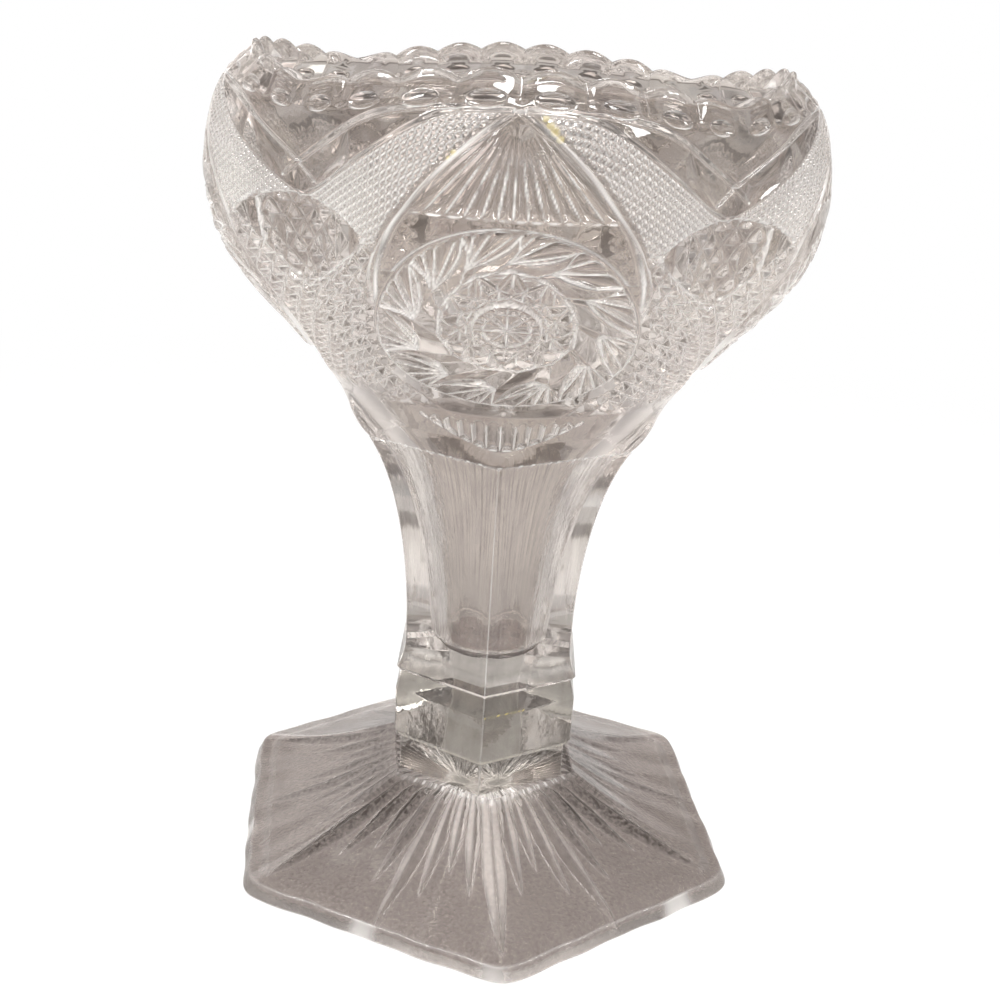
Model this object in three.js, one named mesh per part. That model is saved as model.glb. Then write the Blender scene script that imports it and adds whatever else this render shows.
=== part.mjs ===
// A pressed-glass compote: a four-lobed bowl with a scalloped rim on a hollow six-sided stem,
// a six-sided collar and neck, and a six-sided foot with a rayed, hollow underside.
// Millimetres, +Z up. The origin is on the table under the middle of the foot, and the
// middle of one bowl face looks along -Y. An azimuth of 0 is -Y, and it grows towards +X.
import * as THREE from 'three';

// Driving dimensions: heights of the five sections, from the table up
const FOOT_HEIGHT = 18.6;
const NECK_HEIGHT = 7.9;
const COLLAR_HEIGHT = 17.2;
const STEM_HEIGHT = 56.8;
const BOWL_HEIGHT = 79.3;

// Foot
const FOOT_INRADIUS = 55.6; // middle of the foot to the middle of a side
const FOOT_EDGE = 3.2; // height of the upright edge
const FOOT_EDGE_DRAFT = 1.4; // how far the edge leans in over its height
const FOOT_TOP_INRADIUS = 20.6; // flat on top, under the neck
const FOOT_COVE = 1.6; // how far the sloping top dips below a straight line
const FOOT_RIM_WIDTH = 3.4; // from the edge in to the hollow
const FOOT_GLASS = 5.2; // thickness over the hollow, by the neck
const FOOT_GLASS_EDGE = 2.4; // thickness over the hollow, by the edge
const FOOT_TURN = 7; // degrees that the foot is turned against the stem
const RAY_DEPTH = 1.3; // of the grooves pressed into the underside
const RAYS_PER_SIDE = 8;
const RAY_INNER_RADIUS = 9;
const RAY_LENGTHS = [0.9, 0.66, 0.56, 0.74]; // from a corner ray towards the middle of a side
const RAY_LENGTH_MIDDLE = 1;

// Neck and collar, both measured from the middle to a flat
const NECK_INRADIUS = 18.9;
const COLLAR_INRADIUS = 20.4;
const COLLAR_TOP_INRADIUS = 19.4;
const COLLAR_UPPER_BEVEL = 4.4; // height of the bevel at the top
const COLLAR_LOWER_BEVEL = 2.2;

// Stem
const STEM_RING_INRADIUS = 20.3; // widest line at the foot of the stem
const STEM_RING_LIP = 1.2; // height of the undercut below that line
const STEM_COVE = 6.5; // height of the cove above the ring
const STEM_WAIST_INRADIUS = 18.7;
const STEM_WAIST_LEVEL = 15; // above the bottom of the stem
const STEM_TOP_INRADIUS = 27.6;
const BORE_TOP_RADIUS = 21; // the bowl's hollow where it enters the stem
const BORE_BOTTOM_RADIUS = 9.6;
const BORE_FLOOR = 3.4; // glass left under the hollow
const BORE_ROUND = 4.5; // height of the rounded end of the hollow

// Bowl
const BOWL_MAX_RADIUS = 64.4; // at the middle of a face
const BOWL_CORNER_RADIUS = 55.2; // where two faces meet
const BOWL_ROUND_LEVEL = 13; // above here the bowl is no longer six-sided
const BOWL_GLASS_LOW = 7;
const BOWL_GLASS_HIGH = 4.6;
const RIM_RADIUS_FACE = 54.2;
const RIM_RADIUS_CORNER = 55;
const RIM_ARCH = 4.2; // the rim is this much higher at the middle of a face
const RIM_ROUND = 0.8; // share of half the rim's thickness that is rounded
const RIM_CROWN = 0.6; // how far the rounded rim stands above the end of the outline
const FACES = 4;
const SCALLOPS_PER_FACE = 8;
const SCALLOP_RISE = 2;
const FLUTE_DEPTH = 1.1;
const FLUTE_LENGTH = 11;

// Relief pressed into each face of the bowl: a whirling star in an oval medallion, and round it
// sunk fields between raised lines, with a strap across the top and a lens beside each corner
const STAR_LEVEL = 37.3; // middle of the star, along the face from the outline's lower end
const STAR_RADIUS = 12.4;
const STAR_DEPTH = 0.9;
const BUTTON_RADIUS = 6.2;
const BLADES = 12;
const BLADE_START = 12; // degrees
const BLADE_SWEEP = 17; // degrees that a blade turns on its way out
const BLADE_DEPTH = 1.4;
const MEDALLION_HALF_WIDTH = 26.6;
const MEDALLION_HALF_HEIGHT = 23.2;
const MEDALLION_DROP = 3.3; // its middle lies this far below the star's
const MEDALLION_RING = 1.5; // width of the raised ring round it
const MEDALLION_STEP = 1.3; // the glass outside the ring lies this much deeper
const MEDALLION_STEP_WIDTH = 1.5;
const MEDALLION_MARGIN = 4.5; // where the glass is back at the level of the fields
const HOLE_MARGIN = 1.3; // room between that and the rows' nearest points
const APEX = 39.2; // tip of the teardrop, up from the star's middle
const FIELD_DEPTH = 0.6; // mean depth of the finely cut fields
const FIELD_FLOOR = 9; // the fields start this far up the outline
const STRAP_DEPTH = 1.1; // of the long facet in the strap
const LENS_DEPTH = 1.2;
const LENS_HALF_WIDTH = 2.6;
const LENS_HALF_HEIGHT = 5.5;
const LENS_ASIDE = 7.2; // from the corner to the middle of a lens
const LENS_LEVEL = 11.5;
const PRINT_DEPTH = 0.8; // of the oval thumbprint under each scallop
const PRINT_LEVEL = 5.2; // below the rim
const PRINT_HALF_WIDTH = 0.4; // as a share of a scallop
const PRINT_HALF_HEIGHT = 3;

// Raised lines of the pattern, each point a share of the widest radius across and a share of
// the apex's height up
const TEARDROP = [[0.42, 0.1], [0.4, 0.3], [0.35, 0.46], [0.27, 0.6], [0.17, 0.79], [0.01, 1]];
const STRAP_LOWER = [[0.01, 1], [0.155, 0.99], [0.264, 0.936], [0.425, 0.796], [0.663, 0.58], [0.8, 0.46]];
const STRAP_UPPER = [[0.02, 1.06], [0.27, 1.03], [0.44, 0.962], [0.59, 0.86], [0.7, 0.77], [0.8, 0.66]];
const FIELD_LOWER = [[0.44, 0.36], [0.574, 0.464], [0.7, 0.5], [0.8, 0.52]];
const DIAMOND_LOWER = [[0.42, 0.37], [0.51, 0.278], [0.66, 0.125], [0.8, 0]];

// Levels
const NECK_BASE = FOOT_HEIGHT;
const COLLAR_BASE = NECK_BASE + NECK_HEIGHT;
const STEM_BASE = COLLAR_BASE + COLLAR_HEIGHT;
const BOWL_BASE = STEM_BASE + STEM_HEIGHT;

// Points around each section
const SIDES = 6;
const STEM_POINTS = 6 * SIDES;
const POINTS_PER_SCALLOP = 4;
const FOOT_POINTS = 2 * SIDES * RAYS_PER_SIDE;
const BOWL_POINTS = FACES * SCALLOPS_PER_FACE * POINTS_PER_SCALLOP;
const BLADE_POINTS = 3;
const RIDGE_REACH = 0.48; // how far a raised line draws a point, as a share of the rows' distance

// Rows of the bowl's outside, as shares of the outline's length: below the relief, across it at
// even steps, and up the rim's flutes
const ROWS_BELOW = [0, 0.05, 0.1];
const RELIEF_ROWS = 18;
const RELIEF_START = 0.134;
const RELIEF_END = 0.73;
const ROWS_ABOVE = [0.77, 0.81, 0.85, 0.885, 0.94, 0.98, 1];

// Along a blade: [share of the way out, its width as a share of the pitch, depth of the blade
// and of the fan beside it as shares of the full depth]
const BLADE_SHAPE = [
  [0.18, 0.9, 0.7, 0.1], [0.4, 0.75, 1, 0.35], [0.68, 0.45, 0.8, 0.55], [0.92, 0.25, 0.5, 0.45], [1, 0.2, 0, 0],
];
const SHARP_CORNERS = 60;
const ROUND_CORNERS = 18;

const TAU = 2 * Math.PI;
const { clamp, lerp, smoothstep, degToRad } = THREE.MathUtils;

// Radius of a hexagon with corners at azimuths 0, 60, 120...; a lower power rounds them more
function hexagonRadius(azimuth, inradius, power) {
  let sum = 0;
  for (let side = 0; side < 3; side += 1) {
    sum += Math.abs(Math.cos(azimuth - degToRad(30 + 60 * side))) ** power;
  }
  return inradius / sum ** (1 / power);
}

function pointAt(azimuth, radius, height) {
  return new THREE.Vector3(radius * Math.sin(azimuth), -radius * Math.cos(azimuth), height);
}

// A ring of points: radius and height are functions of the azimuth
function ring(count, radius, height) {
  return Array.from({ length: count }, (_, i) => {
    const azimuth = (i / count) * TAU;
    return pointAt(azimuth, radius(azimuth), height(azimuth));
  });
}

// Adds a ring of points to a surface and returns their indices
function addRing(surface, ringPoints) {
  const first = surface.points.length;
  surface.points.push(...ringPoints);
  return ringPoints.map((_, i) => first + i);
}

// Adds the faces between two rings of indices. Cells named by skip stay open, and those named by
// turned are split along their other diagonal.
function addStrip(surface, lower, upper, skip = () => false, turned = () => false) {
  lower.forEach((a, i) => {
    if (skip(i)) return;
    const next = (i + 1) % lower.length;
    const [b, c, d] = [lower[next], upper[next], upper[i]];
    surface.faces.push(...(turned(i) ? [a, b, d, b, c, d] : [a, b, c, a, c, d]));
  });
}

// Closes a ring of indices with a fan round a centre
function addFan(surface, rim, centre) {
  const middle = surface.points.push(centre) - 1;
  rim.forEach((a, i) => surface.faces.push(middle, a, rim[(i + 1) % rim.length]));
}

function toGeometry(surface) {
  const geometry = new THREE.BufferGeometry().setFromPoints(surface.points);
  geometry.setIndex(surface.faces);
  geometry.computeVertexNormals();
  return geometry;
}

// A solid from rings listed from its bottom, up its outside and back down its inside or top,
// with a fan over the first and the last ring
function loft(rings) {
  const surface = { points: [], faces: [] };
  const rows = rings.map((points) => addRing(surface, points));
  rows.slice(1).forEach((row, k) => addStrip(surface, rows[k], row));
  const level = (points) => new THREE.Vector3(0, 0, points[0].z);
  addFan(surface, rows[0].toReversed(), level(rings[0]));
  addFan(surface, rows.at(-1), level(rings.at(-1)));
  return toGeometry(surface);
}

const glass = () => new THREE.MeshStandardMaterial({
  color: 0xd9d3cf, roughness: 0.04, metalness: 0, transparent: true, opacity: 0.35,
});

function piece(name, geometry) {
  const mesh = new THREE.Mesh(geometry, glass());
  mesh.name = name;
  return mesh;
}

// Foot: the rounded edge, a sloping top with a slight cove, and a rayed hollow below
function footRadius(azimuth, inradius) {
  const round = (inradius - FOOT_TOP_INRADIUS) / (FOOT_INRADIUS - FOOT_TOP_INRADIUS);
  return hexagonRadius(azimuth, inradius, lerp(SHARP_CORNERS, ROUND_CORNERS, Math.max(0, round)));
}

// Height of the sloping top, by the share of the way from the flat out to the edge
function footTopHeight(share) {
  return lerp(FOOT_HEIGHT, FOOT_EDGE, share) - FOOT_COVE * Math.sin(Math.PI * share);
}

// How long the ray at this azimuth is, as a share of the way out to the standing ring
function rayLength(index) {
  const step = index % RAYS_PER_SIDE;
  const half = RAYS_PER_SIDE / 2;
  const fromCorner = Math.min(step, RAYS_PER_SIDE - step);
  return fromCorner === half ? RAY_LENGTH_MIDDLE : RAY_LENGTHS[fromCorner % RAY_LENGTHS.length];
}

function footGeometry() {
  const edgeTop = FOOT_INRADIUS - FOOT_EDGE_DRAFT;
  const standing = FOOT_INRADIUS - FOOT_RIM_WIDTH;
  const rings = [];
  const flat = (inradius, height) => {
    rings.push(ring(FOOT_POINTS, (a) => footRadius(a, inradius), () => height));
  };
  const underSteps = 6;
  for (let step = 0; step <= underSteps; step += 1) {
    const share = step / underSteps;
    const inradius = lerp(RAY_INNER_RADIUS, standing, share);
    const slope = (inradius - FOOT_TOP_INRADIUS) / (edgeTop - FOOT_TOP_INRADIUS);
    const roof = footTopHeight(Math.max(0, slope)) - lerp(FOOT_GLASS, FOOT_GLASS_EDGE, slope);
    const height = Math.max(0, roof) * (1 - smoothstep(share, 0.94, 1));
    rings.push(Array.from({ length: FOOT_POINTS }, (_, i) => {
      const azimuth = (i / FOOT_POINTS) * TAU;
      const ray = i % 2 === 0 ? rayLength(i / 2) : 0;
      const taper = Math.min(1, 3 * Math.max(0, 1 - share / (ray || 1e-9)));
      return pointAt(azimuth, footRadius(azimuth, inradius), height + RAY_DEPTH * taper);
    }));
  }
  flat(FOOT_INRADIUS - 0.6, 0);
  flat(FOOT_INRADIUS, 0.6);
  flat(edgeTop + 0.3, FOOT_EDGE - 0.5);
  const topSteps = 4;
  for (let step = topSteps; step >= 0; step -= 1) {
    const share = step / topSteps;
    flat(lerp(FOOT_TOP_INRADIUS, edgeTop, share), footTopHeight(share));
  }
  return loft(rings);
}

// A six-sided solid from [inradius, height] pairs
function hexagonStack(levels) {
  return loft(levels.map(([inradius, height]) => (
    ring(STEM_POINTS, (a) => hexagonRadius(a, inradius, SHARP_CORNERS), () => height)
  )));
}

function neckGeometry() {
  return hexagonStack([[NECK_INRADIUS, 0], [NECK_INRADIUS, NECK_HEIGHT]]);
}

function collarGeometry() {
  return hexagonStack([
    [NECK_INRADIUS, 0],
    [COLLAR_INRADIUS, COLLAR_LOWER_BEVEL],
    [COLLAR_INRADIUS, COLLAR_HEIGHT - COLLAR_UPPER_BEVEL],
    [COLLAR_TOP_INRADIUS, COLLAR_HEIGHT],
  ]);
}

// Outline of the stem above its ring, as an inradius by height above the stem's bottom
function stemInradius(height) {
  const ringTop = STEM_RING_LIP;
  if (height < STEM_WAIST_LEVEL) {
    const share = (height - ringTop) / STEM_COVE;
    return lerp(STEM_RING_INRADIUS, STEM_WAIST_INRADIUS, Math.sin(Math.min(1, share) * Math.PI / 2));
  }
  const share = (height - STEM_WAIST_LEVEL) / (STEM_HEIGHT - STEM_WAIST_LEVEL);
  const flare = 0.15 * share + 0.65 * share ** 2 + 0.2 * share ** 6;
  return lerp(STEM_WAIST_INRADIUS, STEM_TOP_INRADIUS, flare);
}

// Radius of the hollow inside the stem, by height above the stem's bottom
function boreRadius(height) {
  const share = (height - BORE_FLOOR) / (STEM_HEIGHT - BORE_FLOOR);
  const cone = lerp(BORE_BOTTOM_RADIUS, BORE_TOP_RADIUS, 0.45 * share + 0.55 * share ** 3);
  const round = Math.min(1, (height - BORE_FLOOR) / BORE_ROUND);
  return cone * Math.sqrt(1 - (1 - round) ** 2 * 0.85);
}

function stemGeometry() {
  const outer = [[COLLAR_TOP_INRADIUS, 0], [STEM_RING_INRADIUS, STEM_RING_LIP]];
  for (const share of [0.25, 0.5, 0.75, 1]) {
    const height = STEM_RING_LIP + share * STEM_COVE;
    outer.push([stemInradius(height), height]);
  }
  const steps = 9;
  for (let step = 0; step <= steps; step += 1) {
    const height = lerp(STEM_WAIST_LEVEL, STEM_HEIGHT, step / steps);
    outer.push([stemInradius(height), height]);
  }
  const rings = outer.map(([inradius, height]) => (
    ring(STEM_POINTS, (a) => hexagonRadius(a, inradius, SHARP_CORNERS), () => height)
  ));
  const boreSteps = 7;
  for (let step = boreSteps; step >= 1; step -= 1) {
    const height = lerp(BORE_FLOOR + BORE_ROUND, STEM_HEIGHT, (step - 1) / (boreSteps - 1));
    rings.push(ring(STEM_POINTS, () => boreRadius(height), () => height));
  }
  for (const share of [0.55, 0.2, 0]) {
    const height = BORE_FLOOR + share * BORE_ROUND;
    rings.push(ring(STEM_POINTS, () => boreRadius(height), () => height));
  }
  return loft(rings);
}

// Bowl: two outlines, at the middle of a face and where two faces meet, from just above the
// joint up to the rim. Each point is [share of the way out from the stem's top to the widest
// radius, share of the bowl's height], and the last point is the rim's outer edge.
const FACE_SHARES = [
  [0.16, 0.082], [0.323, 0.177], [0.554, 0.29], [0.799, 0.41],
  [0.946, 0.523], [1, 0.656], [0.973, 0.788], [0.875, 0.902],
];
const CORNER_SHARES = [
  [0.214, 0.082], [0.413, 0.177], [0.667, 0.29], [0.866, 0.41],
  [0.957, 0.523], [1, 0.656], [1.011, 0.757], [1.011, 0.851],
];

function outline(shares, widest, rimRadius, rimHeight) {
  const points = shares.map(([out, up]) => (
    new THREE.Vector2(lerp(STEM_TOP_INRADIUS, widest, out), up * BOWL_HEIGHT)
  ));
  return new THREE.SplineCurve([...points, new THREE.Vector2(rimRadius, rimHeight)]);
}

const RIM_HEIGHT_FACE = BOWL_HEIGHT - SCALLOP_RISE - RIM_CROWN;
const RIM_HEIGHT_CORNER = RIM_HEIGHT_FACE - RIM_ARCH;
const FACE_OUTLINE = outline(FACE_SHARES, BOWL_MAX_RADIUS, RIM_RADIUS_FACE, RIM_HEIGHT_FACE);
const OUTLINE_LENGTH = FACE_OUTLINE.getLength();
const CORNER_OUTLINE = outline(
  CORNER_SHARES, BOWL_CORNER_RADIUS, RIM_RADIUS_CORNER, RIM_HEIGHT_CORNER,
);

// 1 at the middle of a face, 0 where two faces meet, with a rounded valley
function lobe(azimuth) {
  const soft = 0.3;
  const wave = Math.cos((FACES / 2) * azimuth);
  return (Math.hypot(wave, soft) - soft) / (Math.hypot(1, soft) - soft);
}

// 1 at the top of a scallop, 0 in the notch between two
function scallop(azimuth) {
  return Math.abs(Math.sin((FACES * SCALLOPS_PER_FACE / 2) * azimuth)) ** 0.8;
}

// Outside of the bowl without its relief: a point [radius, height] at a share of the outline
function bowlOutline(azimuth, share) {
  const middle = FACE_OUTLINE.getPoint(share);
  return CORNER_OUTLINE.getPoint(share).lerp(middle, lobe(azimuth));
}

// Height over x on the line through points whose first numbers rise
function lineAt(points, x) {
  const last = points.length - 1;
  let k = 0;
  while (k < last - 1 && points[k + 1][0] < x) k += 1;
  const [[x0, y0], [x1, y1]] = points.slice(k, k + 2);
  return lerp(y0, y1, clamp((x - x0) / (x1 - x0), 0, 1));
}

// The nearest place to a point on the line through points, or null if none is nearer than reach
// or if the point lies past an end of the line
function nearestOn(points, x, y, reach) {
  const at = new THREE.Vector2(x, y);
  let best = null;
  for (let k = 1; k < points.length; k += 1) {
    const start = new THREE.Vector2(...points[k - 1]);
    const way = new THREE.Vector2(...points[k]).sub(start);
    const share = at.clone().sub(start).dot(way) / way.lengthSq();
    const pastEnd = (k === 1 && share < 0) || (k === points.length - 1 && share > 1);
    const place = start.add(way.multiplyScalar(clamp(share, 0, 1)));
    if (!pastEnd && place.distanceTo(at) < (best ? best.distanceTo(at) : reach)) best = place;
  }
  return best;
}

// A hollow over 0..1 with its deepest place in the middle
function facet(share) {
  return Math.max(0, 1 - Math.abs(2 * share - 1));
}

// A rounded hollow, 1 in the middle of an ellipse and 0 at its edge
function dish(x, halfWidth, y, halfHeight) {
  return Math.sqrt(Math.max(0, 1 - (x / halfWidth) ** 2 - (y / halfHeight) ** 2));
}

// Distance from the star's middle to the medallion's edge, grown by a margin
function medallionReach(theta, margin) {
  const width = Math.cos(theta) / (MEDALLION_HALF_WIDTH + margin);
  const height = Math.sin(theta) / (MEDALLION_HALF_HEIGHT + margin);
  const drop = MEDALLION_DROP / (MEDALLION_HALF_HEIGHT + margin);
  const a = width ** 2 + height ** 2;
  return (Math.sqrt((height * drop) ** 2 + a * (1 - drop ** 2)) - height * drop) / a;
}

// Depth of the fields outside the medallion, at x across from the face's middle (on either
// side) and y up from the star's
function fieldDepth(x, y) {
  const out = x / BOWL_MAX_RADIUS;
  const up = y / APEX;
  const strap = lineAt(STRAP_LOWER, out);
  const top = lineAt(STRAP_UPPER, out);
  if (up > top) return 0;
  if (up > strap) return STRAP_DEPTH * facet((up - strap) / (top - strap)) * smoothstep(out, 0.3, 0.5);
  if (out < 0.42 || up > lineAt(FIELD_LOWER, out) || up < lineAt(DIAMOND_LOWER, out)) return FIELD_DEPTH;
  const aside = (Math.PI / FACES) * BOWL_MAX_RADIUS - x - LENS_ASIDE;
  return LENS_DEPTH * dish(aside, LENS_HALF_WIDTH, y - LENS_LEVEL, LENS_HALF_HEIGHT);
}

// Grooves between the scallops and an oval thumbprint under each of them
function rimDepth(azimuth, below) {
  const fade = 1 - smoothstep(below, FLUTE_LENGTH * 0.6, FLUTE_LENGTH);
  const groove = FLUTE_DEPTH * (1 - scallop(azimuth)) * fade;
  const place = (azimuth / TAU) * FACES * SCALLOPS_PER_FACE;
  const across = place - Math.floor(place) - 0.5;
  const print = dish(across, PRINT_HALF_WIDTH, below - PRINT_LEVEL, PRINT_HALF_HEIGHT);
  return Math.max(groove, PRINT_DEPTH * print);
}

// Outside of the bowl at an arc length up the face, sunk by a depth
function bowlOutside(azimuth, arc, depth) {
  const point = bowlOutline(azimuth, FACE_OUTLINE.getUtoTmapping(arc / OUTLINE_LENGTH));
  const sixSided = hexagonRadius(azimuth, STEM_TOP_INRADIUS, SHARP_CORNERS) / STEM_TOP_INRADIUS;
  const roundness = smoothstep(point.y, 0, BOWL_ROUND_LEVEL);
  point.x *= lerp(sixSided, 1, roundness);
  point.x -= depth + rimDepth(azimuth, bowlOutline(azimuth, 1).y - point.y);
  return point;
}

function bowlInside(azimuth, share) {
  const point = bowlOutline(azimuth, share);
  const step = 0.01;
  const before = bowlOutline(azimuth, Math.max(0, share - step));
  const after = bowlOutline(azimuth, Math.min(1, share + step));
  const along = after.sub(before).normalize();
  const glassThickness = lerp(BOWL_GLASS_LOW, BOWL_GLASS_HIGH, smoothstep(share, 0, 0.5));
  return point.add(new THREE.Vector2(-along.y, along.x).multiplyScalar(glassThickness));
}

// The place on the pattern's raised lines that is nearest to a point, within reach
function nearestRidge(x, y, reach) {
  let best = null;
  for (const line of [TEARDROP, STRAP_LOWER, STRAP_UPPER, FIELD_LOWER, DIAMOND_LOWER]) {
    const scaled = line.map(([out, up]) => [out * BOWL_MAX_RADIUS, up * APEX]);
    const place = nearestOn(scaled, x, y, best ? Math.hypot(best.x - x, best.y - y) : reach);
    best = place ?? best;
  }
  return best;
}

// One row of the bowl's outside. Where a raised line of the pattern passes near a point, the
// point moves onto it, but not past the corner between two faces, and elsewhere it is sunk to
// the depth of its field.
function patternRow(arc, reach) {
  const face = TAU / FACES;
  const radius = FACE_OUTLINE.getPointAt(arc / OUTLINE_LENGTH).x;
  const edge = (face / 2) * radius;
  const cell = (TAU / BOWL_POINTS) * radius;
  return Array.from({ length: BOWL_POINTS }, (_, i) => {
    const azimuth = (i / BOWL_POINTS) * TAU;
    const middle = Math.round(azimuth / face) * face;
    const x = (azimuth - middle) * radius;
    const y = arc - STAR_LEVEL;
    const ridge = nearestRidge(Math.abs(x), y, reach);
    const atCorner = Math.abs(x) > edge - cell / 2;
    if (!ridge || (!atCorner && ridge.x > edge - cell / 2)) {
      const depth = fieldDepth(Math.abs(x), y) * smoothstep(arc, FIELD_FLOOR - 2, FIELD_FLOOR);
      return { x, y, azimuth, arc, depth, raised: false };
    }
    const across = atCorner ? x : Math.sign(x) * ridge.x;
    const turned = middle + across / radius;
    return { x: across, y: ridge.y, azimuth: turned, arc: STAR_LEVEL + ridge.y, depth: 0, raised: true };
  });
}

// The medallion on one face: rings of points from the button out to its margin, each ring from
// functions of the step within a blade's points and of the direction
function medallionRings(middle) {
  const rings = [];
  const add = (sweep, across, radius, depth) => {
    rings.push(Array.from({ length: BLADES * BLADE_POINTS }, (_, i) => {
      const step = i % BLADE_POINTS;
      const turn = (i - step) / BLADE_POINTS + across(step);
      const theta = (turn / BLADES) * TAU + degToRad(BLADE_START - sweep);
      const r = radius(theta);
      const x = r * Math.cos(theta);
      const y = r * Math.sin(theta);
      const arc = STAR_LEVEL + y;
      const azimuth = middle + x / FACE_OUTLINE.getPointAt(arc / OUTLINE_LENGTH).x;
      return { x, y, azimuth, arc, depth: depth(step, arc) };
    }));
  };
  const evenly = (step) => step / BLADE_POINTS;
  add(0, evenly, () => BUTTON_RADIUS * 0.7, () => STAR_DEPTH / 2);
  add(0, evenly, () => BUTTON_RADIUS, () => 0);
  add(0, evenly, () => (BUTTON_RADIUS + STAR_RADIUS) / 2, (step) => (step === 0 ? 0 : STAR_DEPTH));
  add(0, evenly, () => STAR_RADIUS, () => 0);
  for (const [out, width, bladeDepth, fanDepth] of BLADE_SHAPE) {
    add(
      BLADE_SWEEP * Math.sin(Math.min(1, out / 0.6) * (Math.PI / 2)),
      (step) => [0, width * 0.6, width][step],
      (theta) => lerp(STAR_RADIUS, medallionReach(theta, -MEDALLION_RING), out),
      (step) => BLADE_DEPTH * [0, bladeDepth, fanDepth][step],
    );
  }
  const field = (arc) => FIELD_DEPTH * smoothstep(arc, FIELD_FLOOR - 2, FIELD_FLOOR);
  const lower = (arc) => smoothstep(STAR_LEVEL - arc, -BUTTON_RADIUS, BUTTON_RADIUS);
  add(BLADE_SWEEP, evenly, (theta) => medallionReach(theta, 0), () => 0);
  add(
    BLADE_SWEEP, evenly, (theta) => medallionReach(theta, MEDALLION_STEP_WIDTH),
    (_, arc) => lerp(FIELD_DEPTH, MEDALLION_STEP, lower(arc)),
  );
  add(BLADE_SWEEP, evenly, (theta) => medallionReach(theta, MEDALLION_MARGIN), (_, arc) => field(arc));
  return rings;
}

// A point [radius, height] of the bowl as a point in space
function lift({ azimuth, arc, depth }) {
  const { x, y } = bowlOutside(azimuth, arc, depth);
  return pointAt(azimuth, x, y);
}

// A closed loop of chart points, started at its lowest direction from the star's middle
function fromFirstDirection(loop) {
  const directions = loop.map((p) => (Math.atan2(p.y, p.x) + TAU) % TAU);
  const first = directions.indexOf(Math.min(...directions));
  return [...loop.slice(first), ...loop.slice(0, first + 1)];
}

// Puts one face's medallion into the hole that the rows leave for it, with faces between the
// two loops that always take the shorter of the next two diagonals
function addMedallion(surface, middle, hole) {
  const rings = medallionRings(middle);
  const rows = rings.map((row) => addRing(surface, row.map(lift)));
  addFan(surface, rows[0], lift({ azimuth: middle, arc: STAR_LEVEL, depth: 0 }));
  rows.slice(1).forEach((row, k) => addStrip(surface, row, rows[k]));
  const inner = fromFirstDirection(rings.at(-1).map((p, k) => ({ ...p, index: rows.at(-1)[k] })));
  const outer = fromFirstDirection(hole);
  const between = (a, b) => Math.hypot(a.x - b.x, a.y - b.y);
  let [i, k] = [0, 0];
  while (i < inner.length - 1 || k < outer.length - 1) {
    const innerLeft = i < inner.length - 1 ? between(inner[i + 1], outer[k]) : Infinity;
    const outerLeft = k < outer.length - 1 ? between(inner[i], outer[k + 1]) : Infinity;
    const goOut = outerLeft < innerLeft;
    surface.faces.push(inner[i].index, outer[k].index, (goOut ? outer[k + 1] : inner[i + 1]).index);
    if (goOut) k += 1;
    else i += 1;
  }
}

// The points round a block of open cells, in order
function outlineOfHole(rows, open) {
  const next = new Map();
  const count = BOWL_POINTS;
  const isOpen = (row, i) => open.has(`${row},${(i + count) % count}`);
  for (const cell of open) {
    const [row, i] = cell.split(',').map(Number);
    const right = (i + 1) % count;
    const [a, b, c, d] = [rows[row][i], rows[row][right], rows[row + 1][right], rows[row + 1][i]];
    if (!isOpen(row - 1, i)) next.set(a, b);
    if (!isOpen(row, i + 1)) next.set(b, c);
    if (!isOpen(row + 1, i)) next.set(c, d);
    if (!isOpen(row, i - 1)) next.set(d, a);
  }
  const loop = [next.keys().next().value];
  while (next.get(loop.at(-1)) !== loop[0]) loop.push(next.get(loop.at(-1)));
  return loop;
}

// The bowl's outside from the top of its plain foot to the end of the outline
function addBowlOutside(surface) {
  const relief = Array.from({ length: RELIEF_ROWS }, (_, k) => (
    lerp(RELIEF_START, RELIEF_END, k / (RELIEF_ROWS - 1))
  ));
  const arcs = [...ROWS_BELOW, ...relief, ...ROWS_ABOVE].map((share) => share * OUTLINE_LENGTH);
  const rows = arcs.map((arc, k) => {
    const gap = k > 0 && k < arcs.length - 1 ? Math.min(arc - arcs[k - 1], arcs[k + 1] - arc) : 0;
    return patternRow(arc, RIDGE_REACH * gap);
  });
  rows.forEach((row) => {
    addRing(surface, row.map(lift)).forEach((index, i) => { row[i].index = index; });
  });
  const faceAt = (i) => Math.round((i / BOWL_POINTS) * FACES) % FACES;
  const clearance = MEDALLION_MARGIN + HOLE_MARGIN;
  const inHole = (p) => Math.hypot(p.x, p.y) < medallionReach(Math.atan2(p.y, p.x), clearance);
  const open = Array.from({ length: FACES }, () => new Set());
  rows.slice(1).forEach((upper, k) => {
    const lower = rows[k];
    const isOpen = (i) => {
      const next = (i + 1) % BOWL_POINTS;
      return [lower[i], lower[next], upper[next], upper[i]].some(inHole);
    };
    lower.forEach((_, i) => { if (isOpen(i)) open[faceAt(i + 0.5)].add(`${k},${i}`); });
    const turned = (i) => {
      const next = (i + 1) % BOWL_POINTS;
      return lower[next].raised && upper[i].raised && !(lower[i].raised && upper[next].raised);
    };
    addStrip(surface, lower.map((p) => p.index), upper.map((p) => p.index), isOpen, turned);
  });
  open.forEach((cells, face) => {
    addMedallion(surface, (face / FACES) * TAU, outlineOfHole(rows, cells));
  });
  return [rows[0], rows.at(-1)].map((row) => row.map((p) => p.index));
}

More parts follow.
